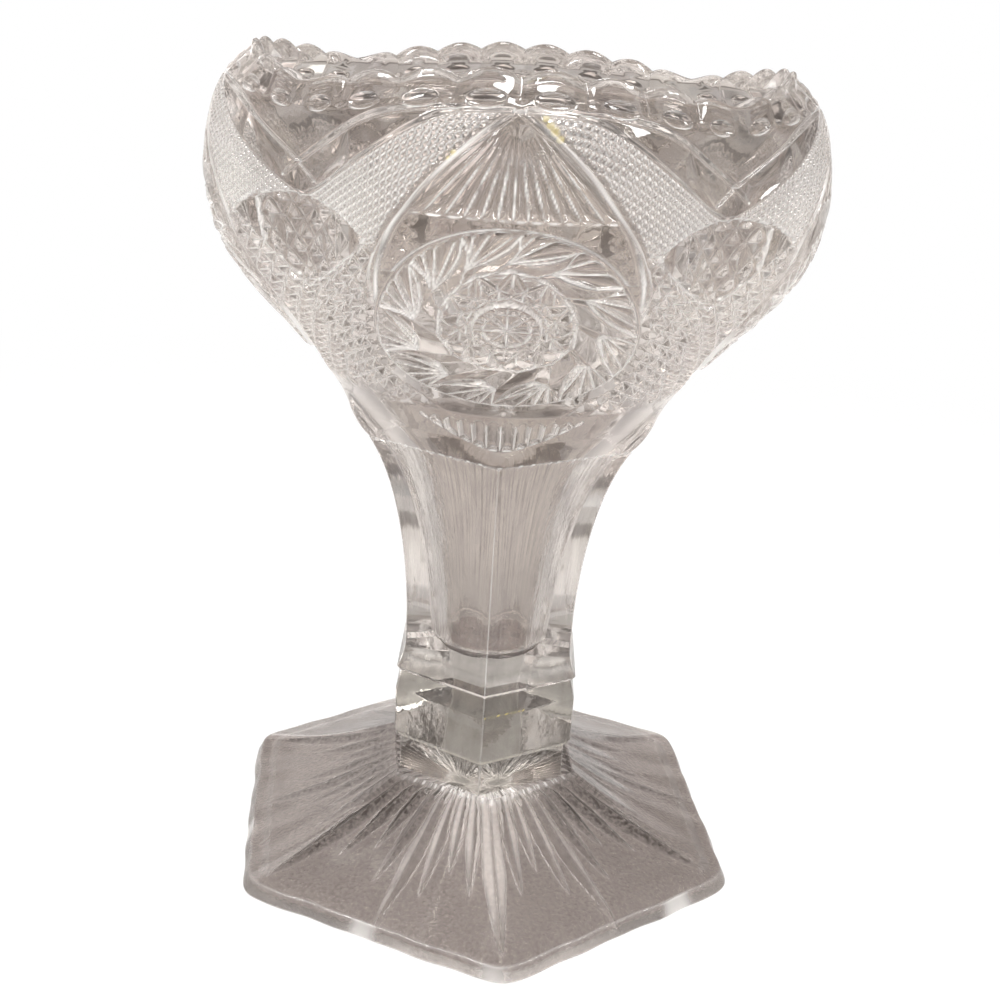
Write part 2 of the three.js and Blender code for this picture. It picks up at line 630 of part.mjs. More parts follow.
function bowlGeometry() {
  const surface = { points: [], faces: [] };
  const [bottom, top] = addBowlOutside(surface);
  const azimuths = Array.from({ length: BOWL_POINTS }, (_, i) => (i / BOWL_POINTS) * TAU);
  const add = (at) => addRing(surface, azimuths.map((azimuth) => {
    const { x, y } = at(azimuth);
    return pointAt(azimuth, x, y);
  }));
  const rows = [top];
  for (const turn of [0.2, 0.5, 0.8]) {
    rows.push(add((a) => {
      const outer = bowlOutside(a, OUTLINE_LENGTH, 0);
      const inner = bowlInside(a, 1);
      const rise = SCALLOP_RISE * scallop(a) + RIM_CROWN;
      const across = (1 - Math.cos(Math.PI * turn) * RIM_ROUND - (1 - RIM_ROUND) * (1 - 2 * turn)) / 2;
      const point = outer.lerp(inner, across);
      point.y += rise * Math.sin(Math.PI * turn);
      return point;
    }));
  }
  for (const share of [1, 0.86, 0.66, 0.44, 0.2]) {
    rows.push(add((a) => bowlInside(a, share)));
  }
  rows.push(add(() => new THREE.Vector2(BORE_TOP_RADIUS, 0)));
  const side = TAU / SIDES;
  rows.push(addRing(surface, azimuths.map((azimuth) => {
    const corner = Math.round(azimuth / side) * side;
    const near = Math.abs(azimuth - corner) < TAU / BOWL_POINTS / 2;
    const at = near ? corner : azimuth;
    return pointAt(at, hexagonRadius(at, STEM_TOP_INRADIUS, SHARP_CORNERS), 0);
  })));
  rows.push(bottom);
  rows.slice(1).forEach((row, k) => addStrip(surface, rows[k], row));
  return toGeometry(surface);
}

// Assembly: each section stands on the one below it, face to face
const compote = new THREE.Group();

const foot = piece('foot', footGeometry());
foot.rotation.z = degToRad(FOOT_TURN);
compote.add(foot);

const neck = piece('neck', neckGeometry());
neck.position.z = NECK_BASE;
compote.add(neck);

const collar = piece('collar', collarGeometry());
collar.position.z = COLLAR_BASE;
compote.add(collar);

const stem = piece('stem', stemGeometry());
stem.position.z = STEM_BASE;
compote.add(stem);

const bowl = piece('bowl', bowlGeometry());
bowl.position.z = BOWL_BASE;
compote.add(bowl);

export default compote;
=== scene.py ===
"""A pressed-glass compote with a whirling-star medallion on each of the bowl's four faces."""

from math import cos, pi, radians, sin

import bpy
import numpy as np
from mathutils import Matrix, Vector


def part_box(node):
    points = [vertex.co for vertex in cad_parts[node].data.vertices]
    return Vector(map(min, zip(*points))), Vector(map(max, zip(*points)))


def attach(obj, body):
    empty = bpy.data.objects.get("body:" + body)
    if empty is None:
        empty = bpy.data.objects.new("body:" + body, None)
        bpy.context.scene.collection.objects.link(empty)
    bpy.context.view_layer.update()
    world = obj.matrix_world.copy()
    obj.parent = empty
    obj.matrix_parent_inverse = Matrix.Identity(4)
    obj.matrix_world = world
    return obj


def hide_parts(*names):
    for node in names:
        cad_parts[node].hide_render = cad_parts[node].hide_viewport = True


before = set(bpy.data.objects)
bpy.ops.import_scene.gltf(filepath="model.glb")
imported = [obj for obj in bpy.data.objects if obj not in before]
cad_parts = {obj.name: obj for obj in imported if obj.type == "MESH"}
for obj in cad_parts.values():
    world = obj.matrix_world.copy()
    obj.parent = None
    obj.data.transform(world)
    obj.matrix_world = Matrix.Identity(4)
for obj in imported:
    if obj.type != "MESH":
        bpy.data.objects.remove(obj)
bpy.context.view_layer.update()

# Lengths are in millimetres until a mesh or an object is made. An azimuth of 0 is -Y, and it
# grows towards +X. A depth is measured into the glass from the smooth outside.
MM = 0.001

# Levels, from the frame
NECK_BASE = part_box("neck")[0][2] / MM
COLLAR_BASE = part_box("collar")[0][2] / MM
STEM_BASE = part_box("stem")[0][2] / MM
BOWL_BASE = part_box("bowl")[0][2] / MM
STEM_HEIGHT = BOWL_BASE - STEM_BASE
COLLAR_HEIGHT = STEM_BASE - COLLAR_BASE
NECK_HEIGHT = COLLAR_BASE - NECK_BASE
FOOT_HEIGHT = NECK_BASE

# Foot. An inradius is measured from the middle to the middle of a side.
SIDES = 6
FOOT_INRADIUS = 55.6
FOOT_EDGE = 3.2  # height of the upright edge
FOOT_EDGE_DRAFT = 1.4  # how far the edge leans in over its height
FOOT_TOP_INRADIUS = 20.6  # flat on top, under the neck
FOOT_COVE = 1.6  # how far the sloping top dips below a straight line
FOOT_RIM_WIDTH = 3.4  # from the edge in to the hollow
FOOT_GLASS = 5.2  # thickness over the hollow, by the neck
FOOT_GLASS_EDGE = 2.4  # and by the edge
FOOT_TURN = radians(7)  # against the stem
EDGE_LUMPS = 0.8
RAY_DEPTH = 1.8
RAYS_PER_SIDE = 8
RAY_INNER_RADIUS = 5.0
RAY_LENGTHS = (0.96, 0.72, 0.64, 0.8, 1.0, 0.8, 0.64, 0.72)
RAY_HALF_WIDTHS = (4.4, 3.4, 3.2, 3.4, 4.0, 3.4, 3.2, 3.4)
FRONT_FULL, FRONT_NONE = radians(22), radians(48)  # the rays' painted highlight is full up to the first, and gone past the second

# Neck and collar
NECK_INRADIUS = 18.9
COLLAR_INRADIUS = 20.4
COLLAR_TOP_INRADIUS = 19.4
COLLAR_UPPER_BEVEL = 4.4
COLLAR_LOWER_BEVEL = 2.2
COLLAR_EASE = 0.4  # rings this far from the upper bevel's edge keep it crisp

# Stem
STEM_RING_INRADIUS = 20.3  # widest line at the foot of the stem
STEM_RING_LIP = 1.2  # height of the undercut below that line
STEM_COVE = 6.5
STEM_WAIST_INRADIUS = 18.7
STEM_WAIST_LEVEL = 15.0
STEM_TOP_INRADIUS = 27.6
BORE_TOP_RADIUS = 21.0
BORE_BOTTOM_RADIUS = 9.6
BORE_FLOOR = 3.4  # glass left under the hollow
BORE_ROUND = 4.5  # height of its rounded end
BORE_DIMPLE_RADIUS = 8.0
BORE_DIMPLE_DEPTH = 2.8
STREAK_DEPTH = 0.014
STREAK_FADE = 4.0  # height below the bowl over which the streaks set in
HAZE_START, HAZE_FULL = 14, 34  # heights between which the film in the hollow thickens

# Bowl
FACES = 4
BOWL_HEIGHT = 79.3
BOWL_MAX_RADIUS = 64.3
BOWL_CORNER_RADIUS = 55.2
BOWL_ROUND_LEVEL = 13.0  # above here the bowl is no longer six-sided
BOWL_GLASS_LOW = 7.0
BOWL_GLASS_HIGH = 4.6
LOBE_SOFT = 0.3
RIM_RADIUS_FACE = 54.2
RIM_RADIUS_CORNER = 55.0
RIM_ARCH = 4.2  # the rim is this much higher at the middle of a face
RIM_ROUND = 0.8  # the rim's section is a half ellipse at 1, and a sine wave's half at 0
RIM_CROWN = 0.6
RIM_CREST = 0.3  # how far the rim stands above the ends of the outlines, in a notch
SCALLOPS_PER_FACE = 8
SCALLOP_RISE = 2.0
LOW_SCALLOPS = radians(13)  # as far from a corner the scallops are lower
LOWEST_SCALLOP = 0.25
RIM_FLUTE_DEPTH = 0.7
RIM_FLUTE_LENGTH = 5.0
RIM_ARCS = (1.4, 2.5)  # below the crest
RIM_ARC_DEPTH = 0.2
RIM_ARC_WIDTH = 1.1
OVAL_DEPTH = 0.8
OVAL_LEVEL = 3.6
OVAL_HALF_WIDTH = 0.3  # as a share of a scallop
OVAL_HALF_HEIGHT = 1.3

# The bowl's outlines in the middle of a face and at a corner: [share of the way out from the
# stem's top to the widest radius, share of the bowl's height]
FACE_SHARES = (
    (0.16, 0.082), (0.323, 0.177), (0.554, 0.29), (0.799, 0.41),
    (0.946, 0.523), (1, 0.656), (0.973, 0.788), (0.875, 0.902),
)
CORNER_SHARES = (
    (0.214, 0.082), (0.413, 0.177), (0.667, 0.29), (0.866, 0.41),
    (0.957, 0.523), (1, 0.656), (1.011, 0.757), (1.011, 0.851),
)

# Pattern on a face, in millimetres across from its middle and up from the star's centre
STAR_LEVEL = 37.3  # arc length up the face to the star's centre
STAR_RADIUS = 12.4
STAR_DEPTH = 1.2
BUTTON_RADIUS = 6.2
PETALS, PETAL_RADIUS, PETAL_DEPTH = 8, 4.1, 0.7
BEADS, BEAD_RING, BEAD_LENGTH, BEAD_DEPTH = 16, 4.4, 1.6, 0.6
BLADES = 12
BLADE_START = radians(12)
BLADE_SWEEP = radians(17)
BLADE_SWEPT = 0.6  # share of the way out by which a blade has turned
BLADE_TIP = 0.93
BLADE_DEPTH = 1.4
FAN_FLUTES, FAN_START, FAN_SPREAD = 5, radians(14), radians(96)
FAN_DEPTH = 1.0
WHIRL_CENTRE = -3.3  # middle of the medallion's ellipse
WHIRL_WIDTH = 26.6
WHIRL_HEIGHT = 23.2
MEDALLION_STEP = 1.3
MEDALLION_BEVEL = 1.5
MEDALLION_MARGIN = 4.0  # where the glass is back at its level
APEX = 39.2
DROP_FLUTES, DROP_SPREAD, DROP_HEELS = 10, radians(83), 21.3
NAIL_PITCH, NAIL_DEPTH = 1.4, 0.7
LATTICE_PITCH, CORNER_PITCH, LATTICE_DEPTH, LATTICE_SLANT = 3.5, 4.6, 1.1, radians(40)
LENS_DEPTH, LENS_HALF_WIDTH, LENS_HALF_HEIGHT = 0.9, 2.0, 5.0
LENS_ASIDE, LENS_LEVEL = 7.2, 11.5
WEDGE_START, WEDGE_END, WEDGE_LEVEL, WEDGE_DEPTH = 29, 37, 9.5, 0.8
STRAP_FACET, STRAP_FACET_HALF, STRAP_FACET_DEPTH = 39.5, 7, 1.1
SKIRT_HALF, SKIRT_PITCH, SKIRT_TOP, SKIRT_DEPTH = radians(27), radians(4.5), 6.6, 0.8
TEARDROP_INNER = (
    (-3.3, 26.6), (3.7, 25.6), (10.4, 24.6), (17.9, 21.6), (23.7, 16.9), (30.8, 10.3), (39.2, 0.0),
)
TEARDROP_OUTER = ((-6.0, 26.4), (7.1, 27.8), (14.6, 25.5), (22.1, 20.0), (30.0, 13.0), (40.0, 1.2))
STRAP_LOWER = (
    (0, 39.2), (10, 38.9), (17, 36.7), (27.4, 31.2), (35.7, 26.7), (42.7, 22.7), (48.2, 20.2), (56, 16.6),
)
STRAP_UPPER = ((0, 40.4), (17.5, 39.7), (28.4, 37.7), (37.9, 33.7), (48.7, 28.6), (56, 23.6))
BAND_LOWER = ((20, 12.0), (29, 15.0), (37, 18.2), (48.2, 20.0), (56, 20.4))
DIAMOND_LOWER = ((24, 16.0), (29, 13.6), (33, 10.9), (42.6, 4.9), (50.0, 0.6), (56, -2.6))
LINES_END = STRAP_UPPER[-1][0]
DIAMOND_START = DIAMOND_LOWER[0][0]
BAND_START = 26

# Small marks on the front face: (across, up, radius)
DARK_SPECKS = ((10.9, 32.1, 0.6), (28.3, 17.0, 0.5), (34.7, 15.8, 0.6), (48.1, 13.8, 0.5))
YELLOW_SPOTS = (
    (4.3, 38.4, 0.8), (5.2, 37.3, 1.0), (6.0, 36.2, 1.1), (6.9, 35.0, 0.9), (-10.7, 31.8, 0.8),
    (-11.6, 30.9, 0.6),
)
STAIN_STRENGTH = 0.5

# A turn of this many radians per millimetre starts to look like an edge, and is one, and takes the
# painted highlight to that degree; then the same for the bowl's pattern, as a change of slope
EDGE_SOFT, EDGE_SHARP = 0.8, 2.4
RIDGE_SOFT, RIDGE_SHARP = 0.5, 1.3

# How strong the painted highlight on the ridges is in each part of the bowl's pattern
FRAME_SHINE, BUTTON_SHINE, CUTS_SHINE, OTHER_SHINE = 0.25, 0.8, 1.7, 1.25

# Floor, in metres
FLOOR_HALF = 4.0
FLOOR_LEVEL = -0.0001
FLOOR_REACH = 1.5

# What the glass shows of the studio: by distance over the floor (a share of FLOOR_REACH), by the
# sine of the height over the horizon, and the panels that the room is multiplied by. The dark
# centre of the floor, under and just round the foot, is a painted shadow
FLOOR_RINGS_WITH_SHADOW = (
    (0.045, (0.38, 0.35, 0.33)), (0.06, (0.52, 0.49, 0.47)), (0.12, (1.35, 1.31, 1.27)),
    (0.30, (1.2, 1.16, 1.12)), (0.38, (0.42, 0.39, 0.37)), (0.52, (0.46, 0.43, 0.41)),
    (0.62, (0.9, 0.88, 0.86)), (1.0, (0.9, 0.88, 0.86)),
)
ROOM_BANDS = (
    (0.0, (1.05, 1.05, 1.05)), (0.08, (0.95, 0.93, 0.91)), (0.14, (0.34, 0.31, 0.30)),
    (0.35, (0.40, 0.37, 0.35)), (0.55, (0.8, 0.77, 0.75)), (1.0, (0.5, 0.47, 0.45)),
)
ROOM_PANELS = (
    (0.40, (0.6, 0.58, 0.57)), (0.52, (1.0, 1.0, 1.0)), (0.57, (3.8, 3.8, 3.8)), (1.0, (5.0, 5.0, 5.0)),
)
DARK_WALL = (0.85, 0.53, 0.0)  # direction of the darker wall at the back right
LIGHTS_AIM = (0, 0, 0.1)

# Camera, in millimetres, looking along +Y and down
CAMERA_PLACE = (0.68, -289.9, 191.0)
CAMERA_TILT = radians(20.57)
CAMERA_ROLL = radians(3.60)
CAMERA_SENSOR = 36.0
CAMERA_LENS = 49.46

# Colours
WHITE = (1, 1, 1)
CLEAR = (0.68, 0.64, 0.60)
SHADED = (0.54, 0.495, 0.475)
BLOOM = (0.24, 0.21, 0.20)
RESIDUE = (0.72, 0.60, 0.22)
# White of the painted highlight along edges and ridges
GLINT_WHITE = (0.97, 0.96, 0.94)
SHADOW_TINT = (0.88, 0.86, 0.85)
LATE_TINT = (0.72, 0.69, 0.66)

# Light in the glass
IOR = 1.5
LATE_RAYS = 8.0  # a ray that has met the glass more often goes straight on
BOUNCES = 24


def lerp(a, b, share):
    return a + (b - a) * share


def smoothstep(x, low, high):
    x = np.clip((x - low) / (high - low), 0, 1)
    return x * x * (3 - 2 * x)


def signed(angle):
    """The same angle between minus and plus half a turn."""
    return (angle + pi) % (2 * pi) - pi


def waves(azimuth, pairs):
    """A sum of sines, each a count round the axis and a start."""
    return sum(np.sin(count * azimuth + start) for count, start in pairs)


def spline(points, share):
    """Points on the uniform Catmull-Rom curve through points, at shares from 0 to 1."""
    points = np.asarray(points, float)
    last = len(points) - 1
    place = last * np.clip(share, 0, 1)
    k = np.minimum(np.floor(place).astype(int), last - 1)
    w = (place - k)[..., None]
    p0, p1 = points[np.maximum(k - 1, 0)], points[k]
    p2, p3 = points[k + 1], points[np.minimum(k + 2, last)]
    v0, v1 = (p2 - p0) / 2, (p3 - p1) / 2
    return (2 * p1 - 2 * p2 + v0 + v1) * w**3 + (3 * p2 - 3 * p1 - 2 * v0 - v1) * w**2 + v0 * w + p1


def curve_at(points, x):
    """The height over x of a smooth curve through points whose first numbers rise."""
    dense = spline(points, np.linspace(0, 1, 400))
    return np.interp(x, dense[:, 0], dense[:, 1])


def vee(distance, half_width, depth):
    """A V groove at a distance from its line."""
    return depth * np.clip(1 - np.abs(distance) / half_width, 0, 1)


def hollow(share, depth):
    """A concave flute over 0..1, with a ridge at both sides."""
    return depth * np.clip(1 - (2 * share - 1) ** 2, 0, 1)


def hexagon_radius(azimuth, inradius, power):
    """Radius of a hexagon with corners at azimuths 0, 60, 120...; a lower power rounds them."""
    total = sum(np.abs(np.cos(azimuth - radians(30 + 60 * side))) ** power for side in range(3))
    return inradius / total ** (1 / power)


def at(azimuth, radius, height):
    azimuth, radius, height = np.broadcast_arrays(azimuth, radius, height)
    return np.stack([radius * np.sin(azimuth), -radius * np.cos(azimuth), height], -1)


# Bowl surface
def outline(shares, widest, rim_radius, rim_height):
    points = [(lerp(STEM_TOP_INRADIUS, widest, out), up * BOWL_HEIGHT) for out, up in shares]
    return np.array([*points, (rim_radius, rim_height)])


RIM_HEIGHT_FACE = BOWL_HEIGHT - SCALLOP_RISE - RIM_CROWN
FACE_OUTLINE = outline(FACE_SHARES, BOWL_MAX_RADIUS, RIM_RADIUS_FACE, RIM_HEIGHT_FACE)
CORNER_OUTLINE = outline(
    CORNER_SHARES, BOWL_CORNER_RADIUS, RIM_RADIUS_CORNER, RIM_HEIGHT_FACE - RIM_ARCH
)
SHARES = np.linspace(0, 1, 1001)
FACE_CURVE = spline(FACE_OUTLINE, SHARES)
ARCS = np.concatenate([[0], np.cumsum(np.hypot(*np.diff(FACE_CURVE, axis=0).T))])
SKIRT = float(FACE_CURVE[0, 1])  # height of the plain slope between the joint and the outline


def lobe(azimuth):
    """1 at the middle of a face, 0 where two faces meet, with a rounded valley."""
    wave = np.cos(FACES / 2 * azimuth)
    return (np.hypot(wave, LOBE_SOFT) - LOBE_SOFT) / (np.hypot(1, LOBE_SOFT) - LOBE_SOFT)


def from_corner(azimuth):
    """The angle to the nearest corner of the bowl."""
    return np.abs((azimuth * FACES / (2 * pi)) % 1 - 0.5) * 2 * pi / FACES


def scallop(azimuth):
    """1 at the top of a scallop, 0 in the notch between two."""
    return np.abs(np.sin(FACES * SCALLOPS_PER_FACE / 2 * azimuth)) ** 0.7


def scallop_rise(azimuth):
    """How far the rim's crest stands above its notches, which is less beside a corner."""
    near = smoothstep(from_corner(azimuth), 0, LOW_SCALLOPS)
    return SCALLOP_RISE * scallop(azimuth) * lerp(LOWEST_SCALLOP, 1, near)


def bowl_outline(azimuth, share):
    """The outside without its pattern: radius and height above the bowl's bottom."""
    corner, face = spline(CORNER_OUTLINE, share), spline(FACE_OUTLINE, share)
    point = corner + (face - corner) * lobe(azimuth)[..., None]
    return point[..., 0], point[..., 1]


def bowl_outside(azimuth, arc):
    """The smooth outside at arc lengths up the face; below 0 it is the plain slope."""
    radius, height = bowl_outline(azimuth, np.interp(arc, ARCS, SHARES))
    below = np.clip(1 + arc / SKIRT, 0, 1)
    radius = lerp(STEM_TOP_INRADIUS, radius, below)
    height = height * below
    six_sided = hexagon_radius(azimuth, 1.0, 60)
    radius = radius * lerp(six_sided, 1, smoothstep(height, 0, BOWL_ROUND_LEVEL))
    return radius, height


def bowl_inside(azimuth, share):
    radius, height = bowl_outline(azimuth, share)
    step = 0.01
    r0, h0 = bowl_outline(azimuth, np.maximum(0, share - step))
    r1, h1 = bowl_outline(azimuth, np.minimum(1, share + step))
    length = np.hypot(r1 - r0, h1 - h0)
    thick = lerp(BOWL_GLASS_LOW, BOWL_GLASS_HIGH, smoothstep(share, 0, 0.5))
    return radius - (h1 - h0) / length * thick, height + (r1 - r0) / length * thick


# Pattern on the bowl: each function gives a depth over x across the face and y up it
def star_ways():
    """Directions from the star's centre to the middles of its outline's sides."""
    return [BLADE_START + pi / BLADES + k * 2 * pi / BLADES for k in range(BLADES)]


def star(x, y):
    """The button and the twelve-pointed star in the middle of the whirl."""
    r, theta = np.hypot(x, y), np.arctan2(y, x)
    depth = np.zeros_like(x)
    for way in star_ways():
        chord = x * cos(way) + y * sin(way) - STAR_RADIUS / 2
        depth = np.maximum(depth, vee(chord, 1.1, STAR_DEPTH))
    depth = np.where(r < BUTTON_RADIUS, 0, depth)
    petals = hollow((theta * PETALS / (2 * pi)) % 1, PETAL_DEPTH) * np.clip(r / 1.2, 0, 1)
    depth = np.maximum(depth, np.where(r < PETAL_RADIUS, petals, 0))
    beads = hollow((theta * BEADS / (2 * pi)) % 1, BEAD_DEPTH) * hollow((r - BEAD_RING) / BEAD_LENGTH, 1)
    return np.maximum(depth, np.where((r > BEAD_RING) & (r < BUTTON_RADIUS), beads, 0))


def star_outline(x, y):
    """A fine groove along each side of the star's outline."""
    theta = np.arctan2(y, x)
    depth = np.zeros_like(x)
    for way in star_ways():
        near = np.abs(signed(theta - way)) < pi / BLADES
        side_line = STAR_RADIUS * cos(pi / BLADES) - x * cos(way) - y * sin(way)
        depth = np.maximum(depth, np.where(near, vee(side_line, 0.45, 0.5), 0))
    return depth


def whirl_reach(theta):
    """Distance from the star's centre to the medallion's edge."""
    c, s = np.cos(theta), np.sin(theta)
    a = (c / WHIRL_WIDTH) ** 2 + (s / WHIRL_HEIGHT) ** 2
    b = -2 * s * WHIRL_CENTRE / WHIRL_HEIGHT**2
    rest = (WHIRL_CENTRE / WHIRL_HEIGHT) ** 2 - 1
    return (-b + np.sqrt(b * b - 4 * a * rest)) / (2 * a)


def sweep(share):
    """How far a blade's leading edge has turned at this share of the way out."""
    return BLADE_SWEEP * np.sin(np.clip(share / BLADE_SWEPT, 0, 1) * pi / 2)


def whirl(x, y):
    """Twelve curved blades round the star, each with a fan of five flutes."""
    r, theta = np.hypot(x, y), np.arctan2(y, x)
    reach = whirl_reach(theta)
    out = np.clip((r - STAR_RADIUS) / (reach - STAR_RADIUS), 0, 1)
    pitch = 2 * pi / BLADES
    phase = (theta - BLADE_START + sweep(out)) / pitch
    cell, across = np.floor(phase), phase % 1
    heel = 0.33 - 0.11 * np.sin(theta)
    narrow = 1 - np.cbrt(np.clip((out - heel) / (BLADE_TIP - heel), 0, 1))
    share = across / np.maximum(narrow, 1e-6)
    blade = BLADE_DEPTH * np.minimum(share / 0.7, (1 - share) / 0.3) * np.sqrt(narrow)
    blade *= np.clip(out / 0.05, 0, 1)
    edge = BLADE_START + (cell + 1) * pitch - sweep(heel)
    heel_radius = STAR_RADIUS + heel * (whirl_reach(edge) - STAR_RADIUS)
    dx, dy = x - heel_radius * np.cos(edge), y - heel_radius * np.sin(edge)
    fan_share = (signed(edge - np.arctan2(dy, dx)) + FAN_START) / FAN_SPREAD
    flutes = hollow((fan_share * FAN_FLUTES) % 1, FAN_DEPTH) * np.clip(np.hypot(dx, dy) / 3, 0, 1)
    flutes *= np.sqrt(np.clip((BLADE_TIP + 0.02 - out) / 0.12, 0, 1))
    return np.where(across < narrow, blade, flutes)


def teardrop_fan(x, y):
    """Ten flutes that spread from the apex and end in rounded heels above the whirl."""
    flare = np.arctan2(x, APEX - y)
    share = (flare / DROP_SPREAD + 0.5) * DROP_FLUTES
    end = np.sqrt(np.clip((y - DROP_HEELS) / 1.6, 0, 1))
    return hollow(share % 1, FAN_DEPTH) * np.clip(np.hypot(x, APEX - y) / 9, 0, 1) ** 1.5 * end


def nailheads(x, y, strap):
    """Rows of small pyramids that follow the strap above them."""
    rows = np.abs(2 * (((strap - y) * 0.9 / NAIL_PITCH) % 1) - 1)
    columns = np.abs(2 * ((x / NAIL_PITCH) % 1) - 1)
    return NAIL_DEPTH * np.maximum(rows, columns) ** 1.5


def diamond_lattice(x, y, pitch=LATTICE_PITCH):
    """Raised diamonds between crossed grooves."""
    depth = np.zeros_like(x)
    for way in (LATTICE_SLANT, -LATTICE_SLANT):
        along = (x * sin(way) + y * cos(way)) / pitch
        depth = np.maximum(depth, vee((along % 1 - 0.5) * pitch, 0.37 * pitch, LATTICE_DEPTH))
    return depth


def corner_diamond(side, y, corner):
    """Large diamonds with a lens among them beside the corner, and a wedge nearer the medallion."""
    across, up = (side - corner + LENS_ASIDE) / LENS_HALF_WIDTH, (y - LENS_LEVEL) / LENS_HALF_HEIGHT
    lens = LENS_DEPTH * np.clip(1 - across**2 - up**2, 0, 1) ** 0.6
    wedge = np.minimum(side - WEDGE_START, WEDGE_END - side) / ((WEDGE_END - WEDGE_START) / 2)
    in_wedge = (wedge > 0) & (y > WEDGE_LEVEL)
    cuts = np.maximum(lens, diamond_lattice(side, y, CORNER_PITCH))
    return np.where(in_wedge, WEDGE_DEPTH * np.clip(wedge, 0, 1), cuts)


def medallion_step(past, y):
    """The bevel on the medallion's edge and the deeper glass round it, by the distance past it."""
    bevel = np.clip(1 + past / MEDALLION_BEVEL, 0, 1)
    around_it = np.clip(1 - past / MEDALLION_MARGIN, 0, 1) * np.where(y < 10, 1, 0)
    return MEDALLION_STEP * np.where(past < 0, bevel, around_it) * smoothstep(-y, -22, -12)


def face_pattern(x, y, corner):
    """Depth over one face, where corner is how far across the next face starts."""
    side = np.abs(x)
    strap_low, strap_high = curve_at(STRAP_LOWER, side), curve_at(STRAP_UPPER, side)
    band_low, diamond_low = curve_at(BAND_LOWER, side), curve_at(DIAMOND_LOWER, side)
    drop_in, drop_out = curve_at(TEARDROP_INNER, y), curve_at(TEARDROP_OUTER, y)
    next_side = 2 * corner - side
    r = np.hypot(x, y)
    past = r - whirl_reach(np.arctan2(y, x))

    in_whirl = past < 0
    in_drop = (side < drop_in) & (y < APEX) & (y > 0) & ~in_whirl
    in_frame = (side < drop_out) & (y > WHIRL_CENTRE) & ~in_drop & ~in_whirl
    in_field = ~in_frame & ~in_drop & ~in_whirl
    under_strap = in_field & (y < strap_low)
    in_strap = (y > strap_low) & (y < strap_high)
    in_diamond = under_strap & (y < band_low) & (y > diamond_low) & (side > DIAMOND_START)
    framed = (y > WHIRL_CENTRE) & (y < APEX)

    plain = smoothstep(past, 1.2, 3.5) * smoothstep(y, -29.5, -24) * smoothstep(side, 3, 12)
    thick = np.maximum(strap_high - strap_low, 0.1)
    facet = hollow((y - strap_low) / thick, STRAP_FACET_DEPTH)
    facet = facet * np.clip(1 - ((side - STRAP_FACET) / STRAP_FACET_HALF) ** 2, 0, 1)
    depth = np.zeros_like(x)
    for where, field in (
        (in_whirl & (r < STAR_RADIUS), star(x, y)),
        (in_whirl & (r >= STAR_RADIUS), whirl(x, y)),
        (in_drop, teardrop_fan(x, y)),
        (under_strap & (y > band_low), nailheads(x, y, strap_low)),
        (in_diamond, corner_diamond(side, y, corner)),
        (in_field & (y < diamond_low), diamond_lattice(x, y) * plain),
        (in_strap, facet),
    ):
        depth = np.where(where, field, depth)
    for where, line, half_width, deepest in (
        (side > 1, y - strap_low, 0.8, 0.75),
        (side > 1, y - strap_high, 0.8, 0.75),
        (in_strap & (next_side < LINES_END), y - curve_at(STRAP_UPPER, next_side), 0.8, 0.75),
        (framed, side - drop_in, 0.75, 0.8),
        (framed & (y > band_low - 1), side - drop_out, 0.75, 0.8),
        (side > BAND_START, y - band_low, 0.7, 0.6),
        (side > BAND_START, y - diamond_low, 0.8, 0.7),
    ):
        depth = np.maximum(depth, np.where(where, vee(line, half_width, deepest), 0))
    return np.maximum(np.maximum(depth, star_outline(x, y)), medallion_step(past, y))


def skirt_flutes(azimuth, arc):
    """Upright flutes under the medallion, down to an arc across the face."""
    foot = lerp(-1.6, 7.0, (azimuth / SKIRT_HALF) ** 2)
    share = (azimuth / SKIRT_PITCH) % 1
    top = SKIRT_TOP - 1.2 * np.abs(share - 0.5) * 2
    inside = (np.abs(azimuth) < SKIRT_HALF) & (arc > foot) & (arc < top)
    rounded = np.sqrt(np.clip((top - arc) / 1.0, 0, 1)) * np.clip((arc - foot) / 0.5, 0, 1)
    return np.where(inside, hollow(share, SKIRT_DEPTH) * rounded, 0)


def rim_flutes(azimuth, below_rim):
    """Grooves between the scallops, moulded arcs that follow each scallop, and below them a soft
    oval."""
    groove = 1 - smoothstep(below_rim, RIM_FLUTE_LENGTH * 0.6, RIM_FLUTE_LENGTH)
    depth = RIM_FLUTE_DEPTH * (1 - scallop(azimuth)) * groove
    below_crest = below_rim + scallop_rise(azimuth)
    for line in RIM_ARCS:
        depth = np.maximum(depth, hollow((below_crest - line) / RIM_ARC_WIDTH + 0.5, RIM_ARC_DEPTH))
    across = (azimuth * FACES * SCALLOPS_PER_FACE / (2 * pi)) % 1 - 0.5
    oval = 1 - (across / OVAL_HALF_WIDTH) ** 2 - ((below_rim - OVAL_LEVEL) / OVAL_HALF_HEIGHT) ** 2
    depth = np.maximum(depth, OVAL_DEPTH * np.sqrt(np.clip(oval, 0, 1)))
    return depth * smoothstep(from_corner(azimuth), radians(1), radians(5))


def bowl_depth(azimuth, arc, below_rim):
    """The whole pattern's depth over the outside."""
    face = np.round(azimuth / (2 * pi / FACES))
    local = azimuth - face * 2 * pi / FACES
    width = np.interp(arc, ARCS, FACE_CURVE[:, 0])
    depth = face_pattern(local * width, arc - STAR_LEVEL, pi / FACES * width)
    depth *= smoothstep(arc, 7.5, 9.5) * smoothstep(below_rim, 4.4, 5.2)
    depth = np.maximum(depth, skirt_flutes(local, arc))
    return np.maximum(depth, rim_flutes(azimuth, below_rim))


# Meshes
def bend(points, axis):
    """How sharply a grid of points turns along an axis, in radians per millimetre."""
    before = points - np.roll(points, 1, axis)
    after = np.roll(points, -1, axis) - points
    lengths = np.linalg.norm(before, axis=2) * np.linalg.norm(after, axis=2)
    cosine = (before * after).sum(2) / np.maximum(lengths, 1e-9)
    turn = np.arccos(np.clip(cosine, -1, 1))
    return turn / np.maximum(np.sqrt(lengths), 0.02)


